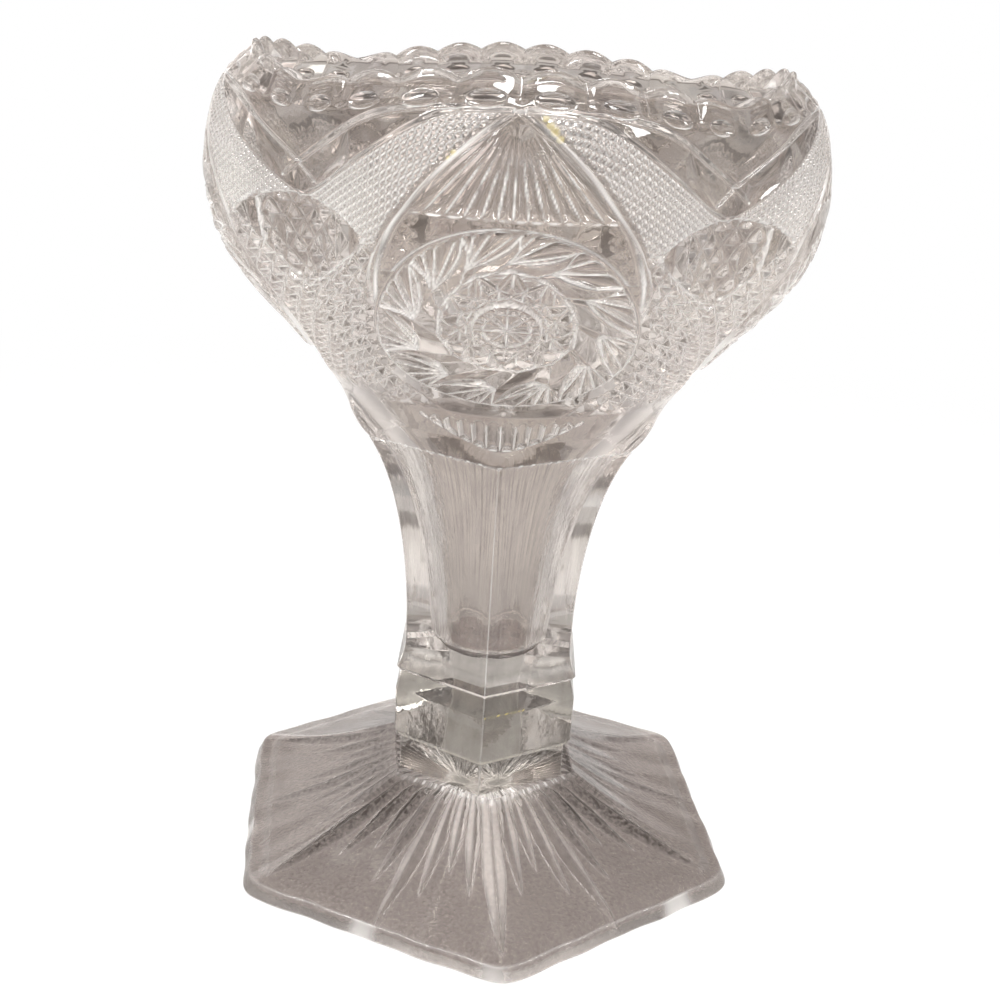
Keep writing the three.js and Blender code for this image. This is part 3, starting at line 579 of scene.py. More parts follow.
def thin_out(mask, cells):
    """The mask, weaker where its lines crowd over this many cells."""
    crowd = mask
    for reach in (cells, 2 * cells, 4 * cells):
        for axis in (0, 1):
            crowd = (np.roll(crowd, reach, axis) + crowd + np.roll(crowd, -reach, axis)) / 3
    return mask * np.clip(1.25 - 1.7 * crowd, 0.2, 1)


def edge_mask(rings):
    """1 on a sharp ridge or in a sharp groove, and 0 on smooth glass; it sets where the painted highlight
    goes.
    """
    mask = smoothstep(np.maximum(bend(rings, 0), bend(rings, 1)), EDGE_SOFT, EDGE_SHARP)
    for axis in (0, 1):
        mask = (np.roll(mask, 1, axis) + 2 * mask + np.roll(mask, -1, axis)) / 4
    return mask


def grid_mesh(name, rings, closed_tube=False, joints=(), texture=1.0, painted_glints=None, dust_and_shade=0.0, stain=0.0):
    """A closed mesh from rings of points, in millimetres: with closed_tube the last ring joins the
    first, otherwise a fan closes each end. joints are the strips (or "first", "last") that touch
    the next section, whose faces take the second material. texture is how strongly each point
    takes the material's waves; the array after it (or, if left out, the sharpness of the rings)
    how much painted highlight, a white coat for glints, each point takes; and the last two how
    much dull coat (dark specks and haze, and painted shade in the foot's grooves) and yellow
    residue lie on it."""
    rows, count = rings.shape[:2]
    points = rings.reshape(-1, 3)
    index = np.arange(rows * count).reshape(rows, count)
    upper = np.roll(index, -1, axis=0) if closed_tube else index[1:]
    lower = index if closed_tube else index[:-1]
    quads = np.stack([lower, np.roll(lower, -1, axis=1), np.roll(upper, -1, axis=1), upper], -1)
    strip_of = np.repeat(np.arange(len(quads)), count)
    quads = quads.reshape(-1, 4)
    is_joint = np.isin(strip_of, [j % len(lower) for j in joints if isinstance(j, int)])
    triangles = np.zeros((0, 3), int)
    if not closed_tube:
        points = np.vstack([points, rings[0].mean(0), rings[-1].mean(0)])
        for row, centre in ((0, rows * count), (rows - 1, rows * count + 1)):
            a, b = index[row], np.roll(index[row], -1)
            a, b = (b, a) if row == 0 else (a, b)
            triangles = np.vstack([triangles, np.stack([np.full(count, centre), a, b], -1)])
        is_joint = np.concatenate([is_joint, np.repeat(["first" in joints, "last" in joints], count)])

    mesh = bpy.data.meshes.new(name)
    mesh.vertices.add(len(points))
    mesh.vertices.foreach_set("co", (points * MM).astype(np.float32).ravel())
    corners = np.concatenate([quads.ravel(), triangles.ravel()])
    sizes = np.concatenate([np.full(len(quads), 4), np.full(len(triangles), 3)])
    mesh.loops.add(len(corners))
    mesh.loops.foreach_set("vertex_index", corners.astype(np.int32))
    mesh.polygons.add(len(sizes))
    starts = np.concatenate([[0], np.cumsum(sizes)[:-1]])
    mesh.polygons.foreach_set("loop_start", starts.astype(np.int32))
    mesh.polygons.foreach_set("material_index", is_joint.astype(np.int32))
    mesh.polygons.foreach_set("use_smooth", np.ones(len(sizes), bool))
    mesh.update(calc_edges=True)
    mesh.validate()
    painted_glints = edge_mask(rings) if painted_glints is None else painted_glints
    # The edge attribute holds the painted highlight; the film attribute holds dark marks and haze, and on the
    # foot painted shade
    for label, values in (("edge", painted_glints), ("texture", texture), ("dust_and_shade", dust_and_shade), ("stain", stain)):
        column = np.zeros(len(points), np.float32)
        column[: rows * count] = np.broadcast_to(values, (rows, count)).ravel()
        mesh.attributes.new(label, "FLOAT", "POINT").data.foreach_set("value", column)
    return mesh


def add_object(name, data):
    thing = bpy.data.objects.new(name, data)
    bpy.context.collection.objects.link(thing)
    return thing


def piece(name, mesh, material, sharp=38):
    """A glass piece that stands for the CAD node of its name. Edges over sharp degrees show."""
    thing = add_object(f"{name}_glass", mesh)
    mesh.materials.append(material)
    mesh.materials.append(JOINT)
    mesh.set_sharp_from_angle(angle=radians(sharp))
    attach(thing, "root")
    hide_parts(name)


def around(count, corner_bias=0.0):
    """Azimuths right round; with a bias they crowd towards the corners of a hexagon."""
    azimuth = np.arange(count) / count * 2 * pi
    return azimuth - corner_bias * np.sin(SIDES * azimuth) / SIDES


def ridges(depth, across, along):
    """1 on the pattern's ridges and less in its sharp grooves, for depths sampled at these
    distances across and along."""
    wide = (np.roll(depth, -2, 1) - 2 * depth + np.roll(depth, 2, 1)) / (2 * across)
    tall = np.zeros_like(depth)
    tall[2:-2] = (depth[4:] - 2 * depth[2:-2] + depth[:-4]) / (2 * along)
    ridge = smoothstep(np.maximum(wide, tall), RIDGE_SOFT, RIDGE_SHARP)
    groove = smoothstep(-np.minimum(wide, tall), RIDGE_SOFT, RIDGE_SHARP)
    return np.maximum(ridge, 0.3 * groove)


def sparkle(azimuth):
    """0.2 to 0.9 in short dashes: a painted glint where two sections meet and round the stem's dimple, and
    the dashes of residue on the collar.
    """
    beat = waves(azimuth, ((57, 0.0), (83, 1.3), (131, 0.4)))
    return lerp(0.2, 0.9, smoothstep(beat, 0.2, 1.6))


def highlights(x, y):
    """Painted highlights: white along the medallion's lower rim and along the sides of the teardrop."""
    past = np.hypot(x, y) - whirl_reach(np.arctan2(y, x))
    glint_lines = 0.9 * (1 - smoothstep(np.abs(past + 0.4), 0.4, 0.9)) * smoothstep(-y, 4, 14)
    framed = smoothstep(y, -2, 6) * smoothstep(APEX - y, 0.5, 4)
    for curve, beyond, strength in ((TEARDROP_INNER, 0.7, 0.9), (TEARDROP_OUTER, -0.6, 0.6)):
        patchy = strength * (0.65 + 0.35 * np.sin(0.45 * y + 2 * beyond + 0.1 * x))
        beside = np.abs(x) - curve_at(curve, y) - beyond
        glint_lines = np.maximum(glint_lines, patchy * framed * (1 - smoothstep(np.abs(beside), 0.15, 0.5)))
    return glint_lines


def painted_shine_strength(x, y):
    """How strong the painted highlight on the pattern's own ridges is: less near the teardrop's
    apex and along its frame."""
    side = np.abs(x)
    drop_in, drop_out = curve_at(TEARDROP_INNER, y), curve_at(TEARDROP_OUTER, y)
    on_frame = (side > drop_in - 1) & (side < drop_out + 1) & (y > WHIRL_CENTRE) & (y < APEX)
    in_fan = (side < drop_in) & (y > 19)
    fan_shine = (1 - smoothstep(y, 25, 34)) * (
        1.1 + 0.9 * np.sin(1.3 * x + 0.6 * y) * np.sin(0.9 * x - 0.8 * y)
    )
    in_button = np.hypot(x, y) < BUTTON_RADIUS + 1
    in_cuts = (y < curve_at(DIAMOND_LOWER, side) + 14) & (side > drop_out)
    painted_shine = np.where(in_button, BUTTON_SHINE, np.where(in_cuts, CUTS_SHINE, OTHER_SHINE))
    painted_shine = painted_shine * (1 - 0.6 * smoothstep(y, 39, 41))
    return np.where(on_frame, FRAME_SHINE, np.where(in_fan, fan_shine, painted_shine))


def bowl_relief(columns, rows, step):
    """The pattern's depth and the painted highlight on its ridges, on the bowl's grid: sampled
    three times finer over one face, and averaged, because the same face comes four times."""
    fine = 3
    azimuth = (np.arange(columns // FACES * fine) - 1) / (columns * fine) * 2 * pi
    arc = -SKIRT + (np.arange(rows * fine) - 1) * step / fine
    az, s = np.meshgrid(azimuth, arc)
    radius, height = bowl_outside(az, s)
    top = bowl_outside(azimuth, np.full_like(azimuth, ARCS[-1]))[1]
    depth = bowl_depth(az, s, top - height)
    glint_lines = thin_out(ridges(depth, radius * 2 * pi / (columns * fine), step / fine), fine)
    width = np.interp(s, ARCS, FACE_CURVE[:, 0])
    quarter = 2 * pi / FACES
    x = ((az / quarter + 0.5) % 1 - 0.5) * quarter * width
    glint_lines = np.clip(glint_lines * painted_shine_strength(x, s - STAR_LEVEL), highlights(x, s - STAR_LEVEL), 1)
    # Painted glint in dashes along the bowl's joint with the stem
    seam_glint = (1 - smoothstep(s + SKIRT, 0.2, 0.6)) * sparkle(az)
    tiled = []
    for values in (depth, np.maximum(glint_lines, seam_glint)):
        blocks = values.reshape(rows, fine, columns // FACES, fine).mean((1, 3))
        tiled.append(np.tile(blocks, (1, FACES)))
    return tiled


def spots(x, y, places):
    """1 inside round spots at (x, y, radius) on the front face."""
    mask = np.zeros_like(x)
    for cx, cy, size in places:
        mask = np.maximum(mask, 1 - smoothstep(np.hypot(x - cx, y - cy) / size, 0.5, 1.0))
    return mask


def bowl_mesh():
    columns, rows = 1152, 384
    azimuth = around(columns)
    arc, step = np.linspace(-SKIRT, ARCS[-1], rows, retstep=True)
    az, s = np.meshgrid(azimuth, arc)
    radius, height = bowl_outside(az, s)
    outside = at(az, radius, BOWL_BASE + height)
    along = np.gradient(outside, axis=0)
    wrapped = np.concatenate([outside[:, -1:], outside, outside[:, :1]], axis=1)
    normal = np.cross(wrapped[:, 2:] - wrapped[:, :-2], along)
    normal /= np.linalg.norm(normal, axis=2, keepdims=True)
    depth, glint_lines = bowl_relief(columns, rows, step)
    outside -= normal * depth[..., None]

    radius, height = bowl_inside(azimuth, np.ones_like(azimuth))
    outer, inner = outside[-1], at(azimuth, radius, BOWL_BASE + height)
    rise = scallop_rise(azimuth) + RIM_CREST
    rim = []
    for turn in np.linspace(0, 1, 14)[1:-1]:
        across = (1 - cos(pi * turn) * RIM_ROUND - (1 - RIM_ROUND) * (1 - 2 * turn)) / 2
        crest = lerp(outer, inner, across)
        crest[:, 2] += rise * sin(pi * turn)
        rim.append(crest)

    az, share = np.meshgrid(azimuth, np.linspace(1, 0.06, 48))
    radius, height = bowl_inside(az, share)
    inside = at(az, radius, BOWL_BASE + height)
    throat = [lerp(inside[-1], at(azimuth, BORE_TOP_RADIUS, BOWL_BASE), t) for t in (0.25, 0.5, 0.75, 1)]
    rings = np.concatenate([outside, np.stack(rim), inside, np.stack(throat)])

    painted_glints, specks, stains = np.zeros((3, *rings.shape[:2]))
    # Painted highlight along the pattern's ridges; the specks and stains are marks on the glass
    painted_glints[:rows] = glint_lines
    az, s = np.meshgrid(signed(azimuth), arc)
    x, y = az * np.interp(s, ARCS, FACE_CURVE[:, 0]), s - STAR_LEVEL
    specks[:rows] = spots(x, y, DARK_SPECKS)
    stains[:rows] = STAIN_STRENGTH * spots(x, y, YELLOW_SPOTS)
    return grid_mesh(
        "bowl_glass", rings, closed_tube=True, joints=(-1,), painted_glints=painted_glints, dust_and_shade=specks, stain=stains
    )


def stem_inradius(height):
    low = lerp(
        STEM_RING_INRADIUS, STEM_WAIST_INRADIUS,
        np.sin(np.clip((height - STEM_RING_LIP) / STEM_COVE, 0, 1) * pi / 2),
    )
    share = np.clip((height - STEM_WAIST_LEVEL) / (STEM_HEIGHT - STEM_WAIST_LEVEL), 0, 1)
    flare = 0.15 * share + 0.65 * share**2 + 0.2 * share**6
    high = lerp(STEM_WAIST_INRADIUS, STEM_TOP_INRADIUS, flare)
    return np.where(height < STEM_WAIST_LEVEL, low, high)


def bore_radius(height):
    share = (height - BORE_FLOOR) / (STEM_HEIGHT - BORE_FLOOR)
    cone = lerp(BORE_BOTTOM_RADIUS, BORE_TOP_RADIUS, 0.45 * share + 0.55 * share**3)
    rounded = np.minimum(1, (height - BORE_FLOOR) / BORE_ROUND)
    return cone * np.sqrt(1 - (1 - rounded) ** 2 * 0.85)


def streaks(azimuth):
    """Fine upright marks that the plunger left in the stem's hollow, between -1 and 1."""
    marks = ((61, 0.2), (83, 1.9), (127, 4.1), (171, 2.7), (223, 5.3), (289, 0.9))
    return waves(azimuth, marks) / len(marks)


def hexagon_rings(azimuth, levels, base):
    return [at(azimuth, hexagon_radius(azimuth, inradius, 150), base + height) for inradius, height in levels]


def stem_mesh():
    azimuth = around(1008, 0.7)
    outer = [(COLLAR_TOP_INRADIUS, 0.0)]
    for height in np.linspace(STEM_RING_LIP, STEM_HEIGHT, 90):
        outer.append((float(stem_inradius(height)), float(height)))
    rings = hexagon_rings(azimuth, outer, STEM_BASE)
    round_top = BORE_FLOOR + BORE_ROUND
    for height in np.linspace(STEM_HEIGHT, round_top, 50):
        fade = smoothstep(STEM_HEIGHT - height, 0, STREAK_FADE)
        mark = STREAK_DEPTH * fade * streaks(azimuth + 0.02 * sin(1.7 * height))
        rings.append(at(azimuth, bore_radius(height) + mark, STEM_BASE + height))
    lip = BORE_FLOOR + BORE_DIMPLE_DEPTH
    wide = bore_radius(round_top)
    for turn in np.linspace(0, pi / 2, 10)[1:]:
        radius = lerp(BORE_DIMPLE_RADIUS, wide, cos(turn))
        rings.append(at(azimuth, radius, STEM_BASE + lerp(round_top, lip, sin(turn))))
    dimple = np.linspace(0, 0.46 * pi, 10)
    for turn in dimple:
        height = lip - BORE_DIMPLE_DEPTH * sin(turn)
        rings.append(at(azimuth, BORE_DIMPLE_RADIUS * cos(turn), STEM_BASE + height))
    rings = np.stack(rings)

    row = np.arange(len(rings))[:, None]
    on_outside, in_dimple = row < len(outer), row >= len(rings) - len(dimple)
    texture = np.where(on_outside, 0.12, 1.0)
    upper = smoothstep(rings[:, 0, 2:] - STEM_BASE, HAZE_START, HAZE_FULL)
    hazy = 0.01 + upper * (0.04 + 0.26 * smoothstep(streaks(azimuth), -0.1, 0.4))
    dust_and_shade = np.where(on_outside, 0, np.where(in_dimple, 1.0, hazy))
    # Painted highlight on sharp edges, and painted glints in dashes along the joint with the bowl and round
    # the dimple
    painted_glints = 0.7 * edge_mask(rings)
    painted_glints[len(outer) - 1] = sparkle(azimuth + 0.01)
    painted_glints[-len(dimple) - 1] = 0.8 * sparkle(azimuth)
    return grid_mesh(
        "stem_glass", rings, joints=("first", len(outer) - 1), texture=texture, painted_glints=painted_glints, dust_and_shade=dust_and_shade
    )


def collar_mesh():
    azimuth = around(432, 0.8)
    upper = COLLAR_HEIGHT - COLLAR_UPPER_BEVEL
    slant = (COLLAR_INRADIUS - COLLAR_TOP_INRADIUS) / COLLAR_UPPER_BEVEL
    levels = [
        (NECK_INRADIUS, 0.0), (COLLAR_INRADIUS, COLLAR_LOWER_BEVEL),
        (COLLAR_INRADIUS, upper - COLLAR_EASE), (COLLAR_INRADIUS, upper),
        (COLLAR_INRADIUS - COLLAR_EASE * slant, upper + COLLAR_EASE), (COLLAR_TOP_INRADIUS, COLLAR_HEIGHT),
    ]
    rings = np.stack(hexagon_rings(azimuth, levels, COLLAR_BASE))
    stain = np.zeros(rings.shape[:2])
    bevel_edge = levels.index((COLLAR_INRADIUS, upper))
    at_front = (azimuth < radians(26)) * smoothstep(azimuth, 0.0, 0.02)
    stain[bevel_edge] = 0.7 * at_front * sparkle(azimuth)
    return grid_mesh("collar_glass", rings, joints=("first", "last"), texture=0.2, stain=stain)


def neck_mesh():
    azimuth = around(432, 0.8)
    levels = [(NECK_INRADIUS, height) for height in np.linspace(0, NECK_HEIGHT, 5)]
    rings = np.stack(hexagon_rings(azimuth, levels, NECK_BASE))
    return grid_mesh("neck_glass", rings, joints=("first", "last"), texture=0.2)


def foot_radius(azimuth, inradius):
    rounding = (inradius - FOOT_TOP_INRADIUS) / (FOOT_INRADIUS - FOOT_TOP_INRADIUS)
    return hexagon_radius(azimuth, inradius, lerp(80, 36, np.maximum(0, rounding)))


def uneven(azimuth):
    """0 to 1, for the slightly lumpy edge of the foot."""
    lumps = ((5, 0.4), (11, 2.2), (19, 4.0), (31, 1.1))
    return 0.5 + waves(azimuth, lumps) / (2 * len(lumps))


def foot_top(share):
    return lerp(FOOT_HEIGHT, FOOT_EDGE, share) - FOOT_COVE * np.sin(pi * share)


def ray_depth(azimuth, radius, share):
    """Pointed V grooves that meet near the neck and spread to different lengths."""
    step = 2 * pi / (SIDES * RAYS_PER_SIDE)
    number = np.round(azimuth / step)
    kind = number.astype(int) % RAYS_PER_SIDE
    length, widest = np.array(RAY_LENGTHS)[kind], np.array(RAY_HALF_WIDTHS)[kind]
    aside = radius * np.sin(np.abs(azimuth - number * step))
    full = radius * sin(step / 2)
    tip = np.clip(1 - share / length, 0, 1)
    half_width = np.minimum(full, widest * tip**0.6) + 1e-6
    return RAY_DEPTH * np.clip(1 - (aside / half_width) ** 1.3, 0, 1) * np.minimum(1, half_width / 1.6)


def ray_flank(azimuth):
    """From 1 on the flank of a ray that faces away from the front corner to -1 on the other."""
    place = azimuth / (2 * pi) * SIDES * RAYS_PER_SIDE
    return np.sin(pi * (place - np.round(place))) * np.sign(signed(azimuth))


def foot_mesh():
    azimuth = around(1152)
    edge_top = FOOT_INRADIUS - FOOT_EDGE_DRAFT
    standing = FOOT_INRADIUS - FOOT_RIM_WIDTH
    az, out = np.meshgrid(azimuth, np.linspace(0, 1, 130))
    inradius = lerp(1.0, standing, out)
    radius = foot_radius(az, inradius)
    slope = np.clip((inradius - FOOT_TOP_INRADIUS) / (edge_top - FOOT_TOP_INRADIUS), 0, 1)
    glass = lerp(FOOT_GLASS, FOOT_GLASS_EDGE, slope)
    roof = np.maximum(0, foot_top(slope) - glass) * (1 - smoothstep(out, 0.94, 1))
    from_hub = np.clip((inradius - RAY_INNER_RADIUS) / (standing - RAY_INNER_RADIUS), 0, 1)
    hub = smoothstep(inradius, RAY_INNER_RADIUS - 3, RAY_INNER_RADIUS + 1)
    rays = hub * ray_depth(az, radius, from_hub)
    rings = [*at(az, radius, roof + rays)]
    edge_levels = (
        (FOOT_INRADIUS - 0.8, 0.0), (FOOT_INRADIUS - 0.5, 0.0), (FOOT_INRADIUS - 0.1, 0.2),
        (FOOT_INRADIUS, 0.5), (FOOT_INRADIUS - 0.05, 0.65), (edge_top + 0.4, FOOT_EDGE - 0.65),
        (edge_top + 0.35, FOOT_EDGE - 0.5), (edge_top + 0.2, FOOT_EDGE - 0.15),
        (edge_top + 0.05, FOOT_EDGE),
    )
    for level_inradius, height in edge_levels:
        rings.append(at(azimuth, foot_radius(azimuth, level_inradius), height))
    for share in (0.995, *np.linspace(0.985, 0, 50)):
        radius = foot_radius(azimuth, lerp(FOOT_TOP_INRADIUS, edge_top, share))
        rings.append(at(azimuth, radius, foot_top(share)))
    rings = np.stack(rings)
    rings *= 1 - (EDGE_LUMPS / FOOT_INRADIUS) * uneven(azimuth)[:, None] * np.array([1, 1, 0])
    c, s = cos(FOOT_TURN), sin(FOOT_TURN)
    turn = np.array([[c, s, 0], [-s, c, 0], [0, 0, 1]])

    under = len(rays)
    texture = np.full(rings.shape[:2], 0.04)
    field = 1 - smoothstep(rays, 0.02, 0.3)
    texture[:under] = lerp(0.02, 1.0, field * smoothstep(from_hub, 0.1, 0.3))
    texture[under : under + len(edge_levels)] = 0.4
    cut = rays / RAY_DEPTH
    front = 1 - smoothstep(np.abs(signed(az)), FRONT_FULL, FRONT_NONE)
    # Painted highlight: on sharp edges, in strokes on one flank of each ray towards the front, in dashes
    # where the foot meets the neck at the front, and as glints on the edge's lumps
    painted_glints = edge_mask(rings)
    painted_shine = front * np.clip(3 * cut * ray_flank(az), 0, 1) * smoothstep(from_hub, 0.02, 0.2)
    painted_glints[:under] = np.maximum(0.25 * painted_glints[:under], painted_shine)
    painted_glints[under:] *= 0.3
    painted_glints[-2:] = np.maximum(painted_glints[-2:], 0.6 * sparkle(azimuth) * smoothstep(np.cos(azimuth), 0.3, 0.9))
    glint = waves(azimuth, ((9, 1.0), (14, 2.6)))
    painted_glints[under : under + len(edge_levels) - 1] += 0.5 * smoothstep(glint, 1.0, 1.9)
    # Painted shade: a dark film in the rays' grooves, less of it towards the front
    dust_and_shade = np.zeros(rings.shape[:2])
    dust_and_shade[:under] = 0.7 * np.sqrt(cut) * (1 - 0.8 * front) * smoothstep(from_hub, 0.1, 0.4)
    return grid_mesh("foot_glass", rings @ turn, joints=("last",), texture=texture, painted_glints=painted_glints, dust_and_shade=dust_and_shade)


# Shader nodes
def node(tree, kind, inputs=(), **settings):
    """A new node. Each input is a value, or a socket to link it to. The functions below add one
    node each, and return what comes out of it."""
    made = tree.nodes.new(f"ShaderNode{kind}")
    for name, value in settings.items():
        setattr(made, name, value)
    for name, value in dict(inputs).items():
        if isinstance(value, bpy.types.NodeSocket):
            tree.links.new(value, made.inputs[name])
        else:
            made.inputs[name].default_value = value
    return made


def combine(tree, operation, first, second, use_clamp=False):
    inputs = {0: first, 1: second}
    return node(tree, "Math", inputs, operation=operation, use_clamp=use_clamp).outputs["Value"]


def map_range(tree, value, low, high, at_low, at_high, kind="LINEAR"):
    """at_low up to low, at_high from high on, and a change from one to the other between them."""
    inputs = {"Value": value, "From Min": low, "From Max": high, "To Min": at_low, "To Max": at_high}
    return node(tree, "MapRange", inputs, interpolation_type=kind).outputs["Result"]


def noise(tree, vector, scale, detail):
    inputs = {"Vector": vector, "Scale": scale, "Detail": detail}
    return node(tree, "TexNoise", inputs).outputs["Fac"]


def attribute(tree, name):
    return node(tree, "Attribute", attribute_name=name).outputs["Fac"]


def split_axes(tree, vector):
    return node(tree, "SeparateXYZ", {"Vector": vector}).outputs


def scaled(tree, vector, factor):
    return node(tree, "VectorMath", {0: vector, "Scale": factor}, operation="SCALE").outputs["Vector"]


def mix_colours(tree, factor, first, second, blend_type="MIX"):
    inputs = {"Factor": factor, "A": first, "B": second}
    return node(tree, "Mix", inputs, data_type="RGBA", blend_type=blend_type).outputs["Result"]


def mix_shaders(tree, factor, first, second):
    return node(tree, "MixShader", {0: factor, 1: first, 2: second}).outputs["Shader"]


def diffuse(tree, colour):
    return node(tree, "BsdfDiffuse", {"Color": (*colour, 1)}).outputs["BSDF"]


def colour_ramp(tree, source, stops, interpolation="LINEAR"):
    """A colour ramp that reads a value between 0 and 1; stops are (place, colour) pairs."""
    ramp = node(tree, "ValToRGB", {"Fac": source})
    ramp.color_ramp.interpolation = interpolation
    elements = ramp.color_ramp.elements
    while len(elements) < len(stops):
        elements.new(0.5)
    for element, (place, colour) in zip(elements, stops):
        element.position = place
        element.color = (*colour, 1)
    return ramp.outputs["Color"]


# Materials
def new_material(name):
    material = bpy.data.materials.new(name)
    material.use_nodes = True
    tree = material.node_tree
    tree.nodes.clear()
    return material, tree


def joint_material():
    """Nothing to see where two sections of the same glass meet."""
    material, tree = new_material("glass_joint")
    clear = node(tree, "BsdfPrincipled", {"Alpha": 0.0}).outputs["BSDF"]
    node(tree, "OutputMaterial", {"Surface": clear})
    return material


def glass_material(name, pale, deep, noise_scale, bump, grain, glint_paint, film_and_shade_colour=BLOOM):
    """Clear glass with a faint uneven tint. noise_scale is along X, Y and Z, bump is the depth of
    the waves in metres, grain is how strongly the fine stipple roughens the surface, the next
    number is how white the painted highlight along each edge and ridge is, and the colour after
    it is that of the dull film, which on the foot is painted shade in its grooves."""
    material, tree = new_material(name)
    place = node(tree, "TexCoord").outputs["Object"]
    path = node(tree, "LightPath").outputs
    stretched = node(tree, "Mapping", {"Vector": place, "Scale": noise_scale}).outputs["Vector"]
    cloud = noise(tree, stretched, 1.0, 4.0)

    # The clear glass, less tinted for rays that have crossed more of it
    tint = colour_ramp(tree, cloud, ((0.35, deep), (0.65, pale)))
    crossed = map_range(tree, path["Ray Depth"], 1.0, 12.0, 0.0, 0.9)
    rough = map_range(tree, noise(tree, place, 1400.0, 2.0), 0.35, 0.75, 0.0, grain)
    height = combine(tree, "MULTIPLY", cloud, attribute(tree, "texture"))
    normal = node(tree, "Bump", {"Strength": 1.0, "Distance": bump, "Height": height}).outputs["Normal"]
    clear = node(tree, "BsdfPrincipled", {
        "Base Color": mix_colours(tree, crossed, tint, (*WHITE, 1)), "Roughness": rough,
        "Normal": normal, "IOR": IOR, "Transmission Weight": 1.0,
    }).outputs["BSDF"]

    # What lies on it: a patchy dull film (marks and haze, and on the foot painted shade in its grooves), the
    # residue, and the painted highlight, a white film along edge and ridge
    patches = map_range(tree, cloud, 0.38, 0.62, 0.3, 1.6)
    film = combine(tree, "MULTIPLY", attribute(tree, "dust_and_shade"), patches)
    dulled = mix_shaders(tree, film, clear, diffuse(tree, film_and_shade_colour))
    stained = mix_shaders(tree, attribute(tree, "stain"), dulled, diffuse(tree, RESIDUE))
    # Painted highlight: a white rough film mixed in along edge and ridge
    glint_share = combine(tree, "MULTIPLY", attribute(tree, "edge"), glint_paint)
    glint_film = node(tree, "BsdfPrincipled", {"Base Color": (*GLINT_WHITE, 1), "Roughness": 0.25}).outputs["BSDF"]
    glass = mix_shaders(tree, glint_share, stained, glint_film)

    # Shadow rays and late rays go straight through
    late = combine(tree, "GREATER_THAN", path["Ray Depth"], LATE_RAYS)
    dimmer = mix_colours(tree, late, (*SHADOW_TINT, 1), (*LATE_TINT, 1))
    through = node(tree, "BsdfTransparent", {"Color": dimmer}).outputs["BSDF"]
    straight = combine(tree, "MAXIMUM", late, path["Is Shadow Ray"])
    node(tree, "OutputMaterial", {"Surface": mix_shaders(tree, straight, glass, through)})
    return material


# Stage
def seen_factor(tree):
    """1 for camera, glossy and transmission rays, 0 for the rays that light the scene."""
    path = node(tree, "LightPath").outputs
    reflected = combine(tree, "MAXIMUM", path["Is Camera Ray"], path["Is Glossy Ray"])
    return combine(tree, "MAXIMUM", reflected, path["Is Transmission Ray"])


def white_to_camera(tree, colour):
    """The colour, but plain white straight from the camera."""
    from_camera = node(tree, "LightPath").outputs["Is Camera Ray"]
    return mix_colours(tree, from_camera, colour, (*WHITE, 1))


def make_floor():
    """A wide pale floor: white to the eye, and still darker where the glass shades it. To the
    glass it shows made-up rings, with a painted shadow round the foot, and it is a little
    brighter towards +X, a painted light falloff.
    """
    mesh = bpy.data.meshes.new("floor")
    corners = ((-1, -1), (1, -1), (1, 1), (-1, 1))
    points = [(x * FLOOR_HALF, y * FLOOR_HALF, FLOOR_LEVEL) for x, y in corners]
    mesh.from_pydata(points, [], [(0, 1, 2, 3)])
    floor = add_object("floor", mesh)
    material, tree = new_material("floor_white")
    place = node(tree, "TexCoord").outputs["Object"]
    distance = node(tree, "VectorMath", {0: place}, operation="LENGTH").outputs["Value"]
    share = map_range(tree, distance, 0.0, FLOOR_REACH, 0.0, 1.0)
    # Painted light falloff: the floor the glass sees is a little brighter towards +X
    side = map_range(tree, split_axes(tree, place)["X"], -0.25, 0.25, 0.82, 0.85)
    shown = scaled(tree, colour_ramp(tree, share, FLOOR_RINGS_WITH_SHADOW, "EASE"), side)
    glow = node(tree, "Emission", {"Color": white_to_camera(tree, shown)}).outputs["Emission"]
    fade = map_range(tree, distance, 0.08, 0.5, 0.6, 1.0)
    factor = combine(tree, "MULTIPLY", seen_factor(tree), fade)
    surface = mix_shaders(tree, factor, diffuse(tree, (0.9, 0.9, 0.9)), glow)
    node(tree, "OutputMaterial", {"Surface": surface})
    mesh.materials.append(material)


def make_world():
    """A white sweep round the floor, under a room with bright and dark panels."""
    world = bpy.data.worlds.new("studio")
    bpy.context.scene.world = world
    world.use_nodes = True
    tree = world.node_tree
    tree.nodes.clear()
    way = node(tree, "TexCoord").outputs["Generated"]
    axes = split_axes(tree, way)
    lift = map_range(tree, axes["Z"], 0.0, 1.0, 0.0, 1.0)
    panels = colour_ramp(tree, noise(tree, way, 3.2, 1.0), ROOM_PANELS, "EASE")
    side = map_range(tree, axes["X"], -0.6, 0.6, 0.85, 1.05, "SMOOTHSTEP")
    above = combine(tree, "MULTIPLY", lift, 8.0, use_clamp=True)
    bands = colour_ramp(tree, lift, ROOM_BANDS, "EASE")
    room = mix_colours(tree, above, bands, scaled(tree, panels, side), "MULTIPLY")
    toward = node(tree, "VectorMath", {0: way, 1: DARK_WALL}, operation="DOT_PRODUCT").outputs["Value"]
    shown = scaled(tree, room, map_range(tree, toward, 0.2, 0.85, 1.0, 0.55, "SMOOTHSTEP"))
    seen = node(tree, "Background", {"Color": white_to_camera(tree, shown)}).outputs["Background"]
    light = node(tree, "Background", {"Color": (0.95, 0.93, 0.92, 1), "Strength": 0.75})
    surface = mix_shaders(tree, seen_factor(tree), light.outputs["Background"], seen)
    node(tree, "OutputWorld", {"Surface": surface})


def area_light(name, place, width, height, power):
    data = bpy.data.lights.new(name, "AREA")
    data.shape = "RECTANGLE"
    data.size, data.size_y, data.energy = width, height, power
    lamp = add_object(name, data)
    lamp.location = place
    way = Vector(LIGHTS_AIM) - Vector(place)
    lamp.rotation_euler = way.to_track_quat("-Z", "Y").to_euler()


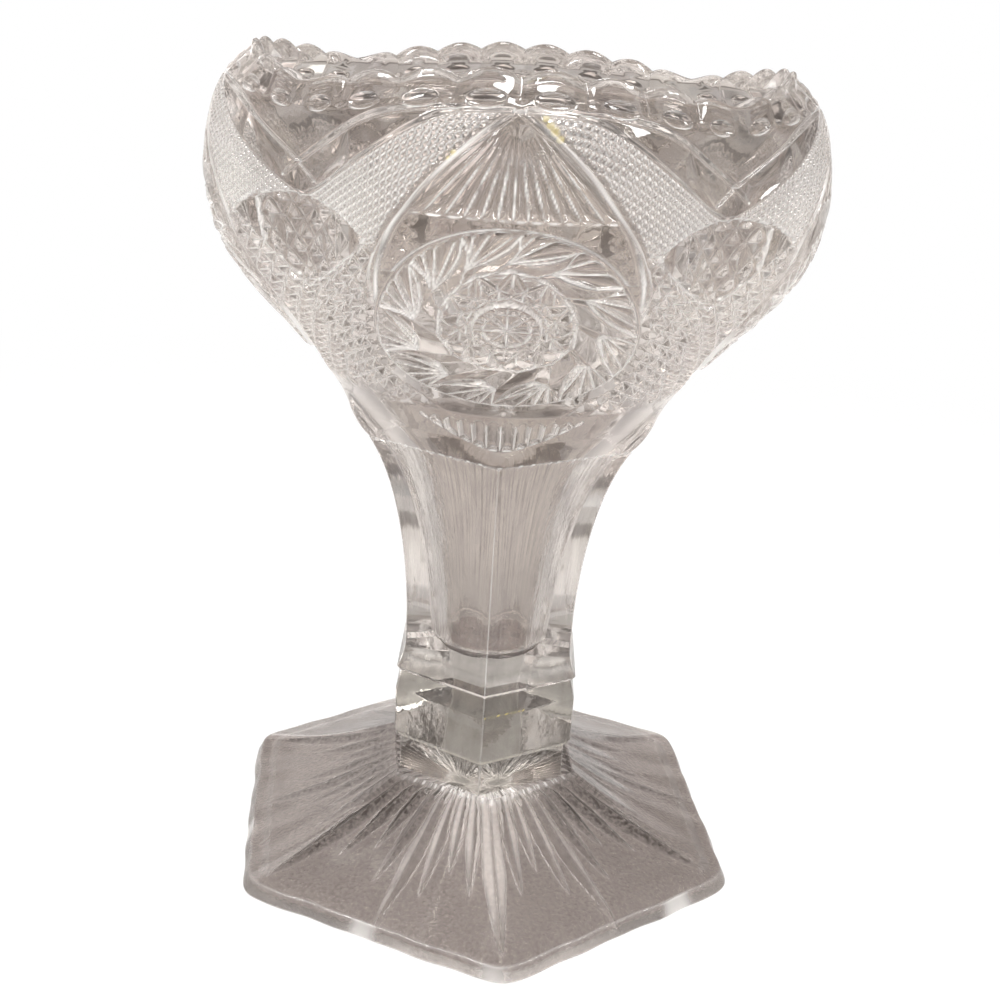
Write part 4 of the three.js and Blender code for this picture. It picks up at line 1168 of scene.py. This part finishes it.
def make_camera():
    """The photograph's view, taken from above with the camera rolled a little."""
    data = bpy.data.cameras.new("camera")
    data.sensor_width = CAMERA_SENSOR
    data.lens = CAMERA_LENS
    data.clip_start = 0.01
    camera = add_object("camera", data)
    tilt, roll = CAMERA_TILT, CAMERA_ROLL
    forward = Vector((0, cos(tilt), -sin(tilt)))
    level, upright = Vector((1, 0, 0)), Vector((0, sin(tilt), cos(tilt)))
    right = level * cos(roll) + upright * sin(roll)
    up = upright * cos(roll) - level * sin(roll)
    place = Matrix((right, up, -forward)).transposed().to_4x4()
    place.translation = Vector(CAMERA_PLACE) * MM
    camera.matrix_world = place
    bpy.context.scene.camera = camera


JOINT = joint_material()
# One glass, with a tint per piece: the stem's paler tint is painted light, the foot's darker tint painted
# shade, and the foot's near-black film colour the painted shade in its grooves
bowl_look = glass_material("bowl_glass", CLEAR, SHADED, (90, 90, 90), 0.00012, 0.03, 0.92)
stem_look = glass_material(
    "stem_glass", (0.76, 0.72, 0.68), (0.60, 0.56, 0.54), (520, 520, 40), 0.0003, 0.05, 0.45
)
collar_look = glass_material(
    "collar_glass", (0.50, 0.475, 0.43), (0.38, 0.355, 0.32), (260, 260, 160), 0.0005, 0.05, 0.22
)
foot_look = glass_material(
    "foot_glass", (0.53, 0.485, 0.46), (0.37, 0.335, 0.32), (1100, 1100, 1100), 0.0003, 0.1, 0.9,
    (0.09, 0.08, 0.075),
)

piece("bowl", bowl_mesh(), bowl_look, 75)
piece("stem", stem_mesh(), stem_look)
piece("collar", collar_mesh(), collar_look)
piece("neck", neck_mesh(), collar_look)
piece("foot", foot_mesh(), foot_look)

make_floor()
make_world()
make_camera()
area_light("window_left", (-0.55, -0.45, 0.75), 0.16, 0.3, 4.0)
area_light("window_right", (0.6, -0.25, 0.6), 0.12, 0.25, 1.8)
area_light("ceiling", (0.05, 0.1, 1.0), 0.2, 0.2, 2.5)

scene = bpy.context.scene
scene.view_settings.view_transform = "Standard"
scene.cycles.max_bounces = BOUNCES
scene.cycles.transmission_bounces = BOUNCES
scene.cycles.glossy_bounces = BOUNCES
scene.cycles.transparent_max_bounces = 32
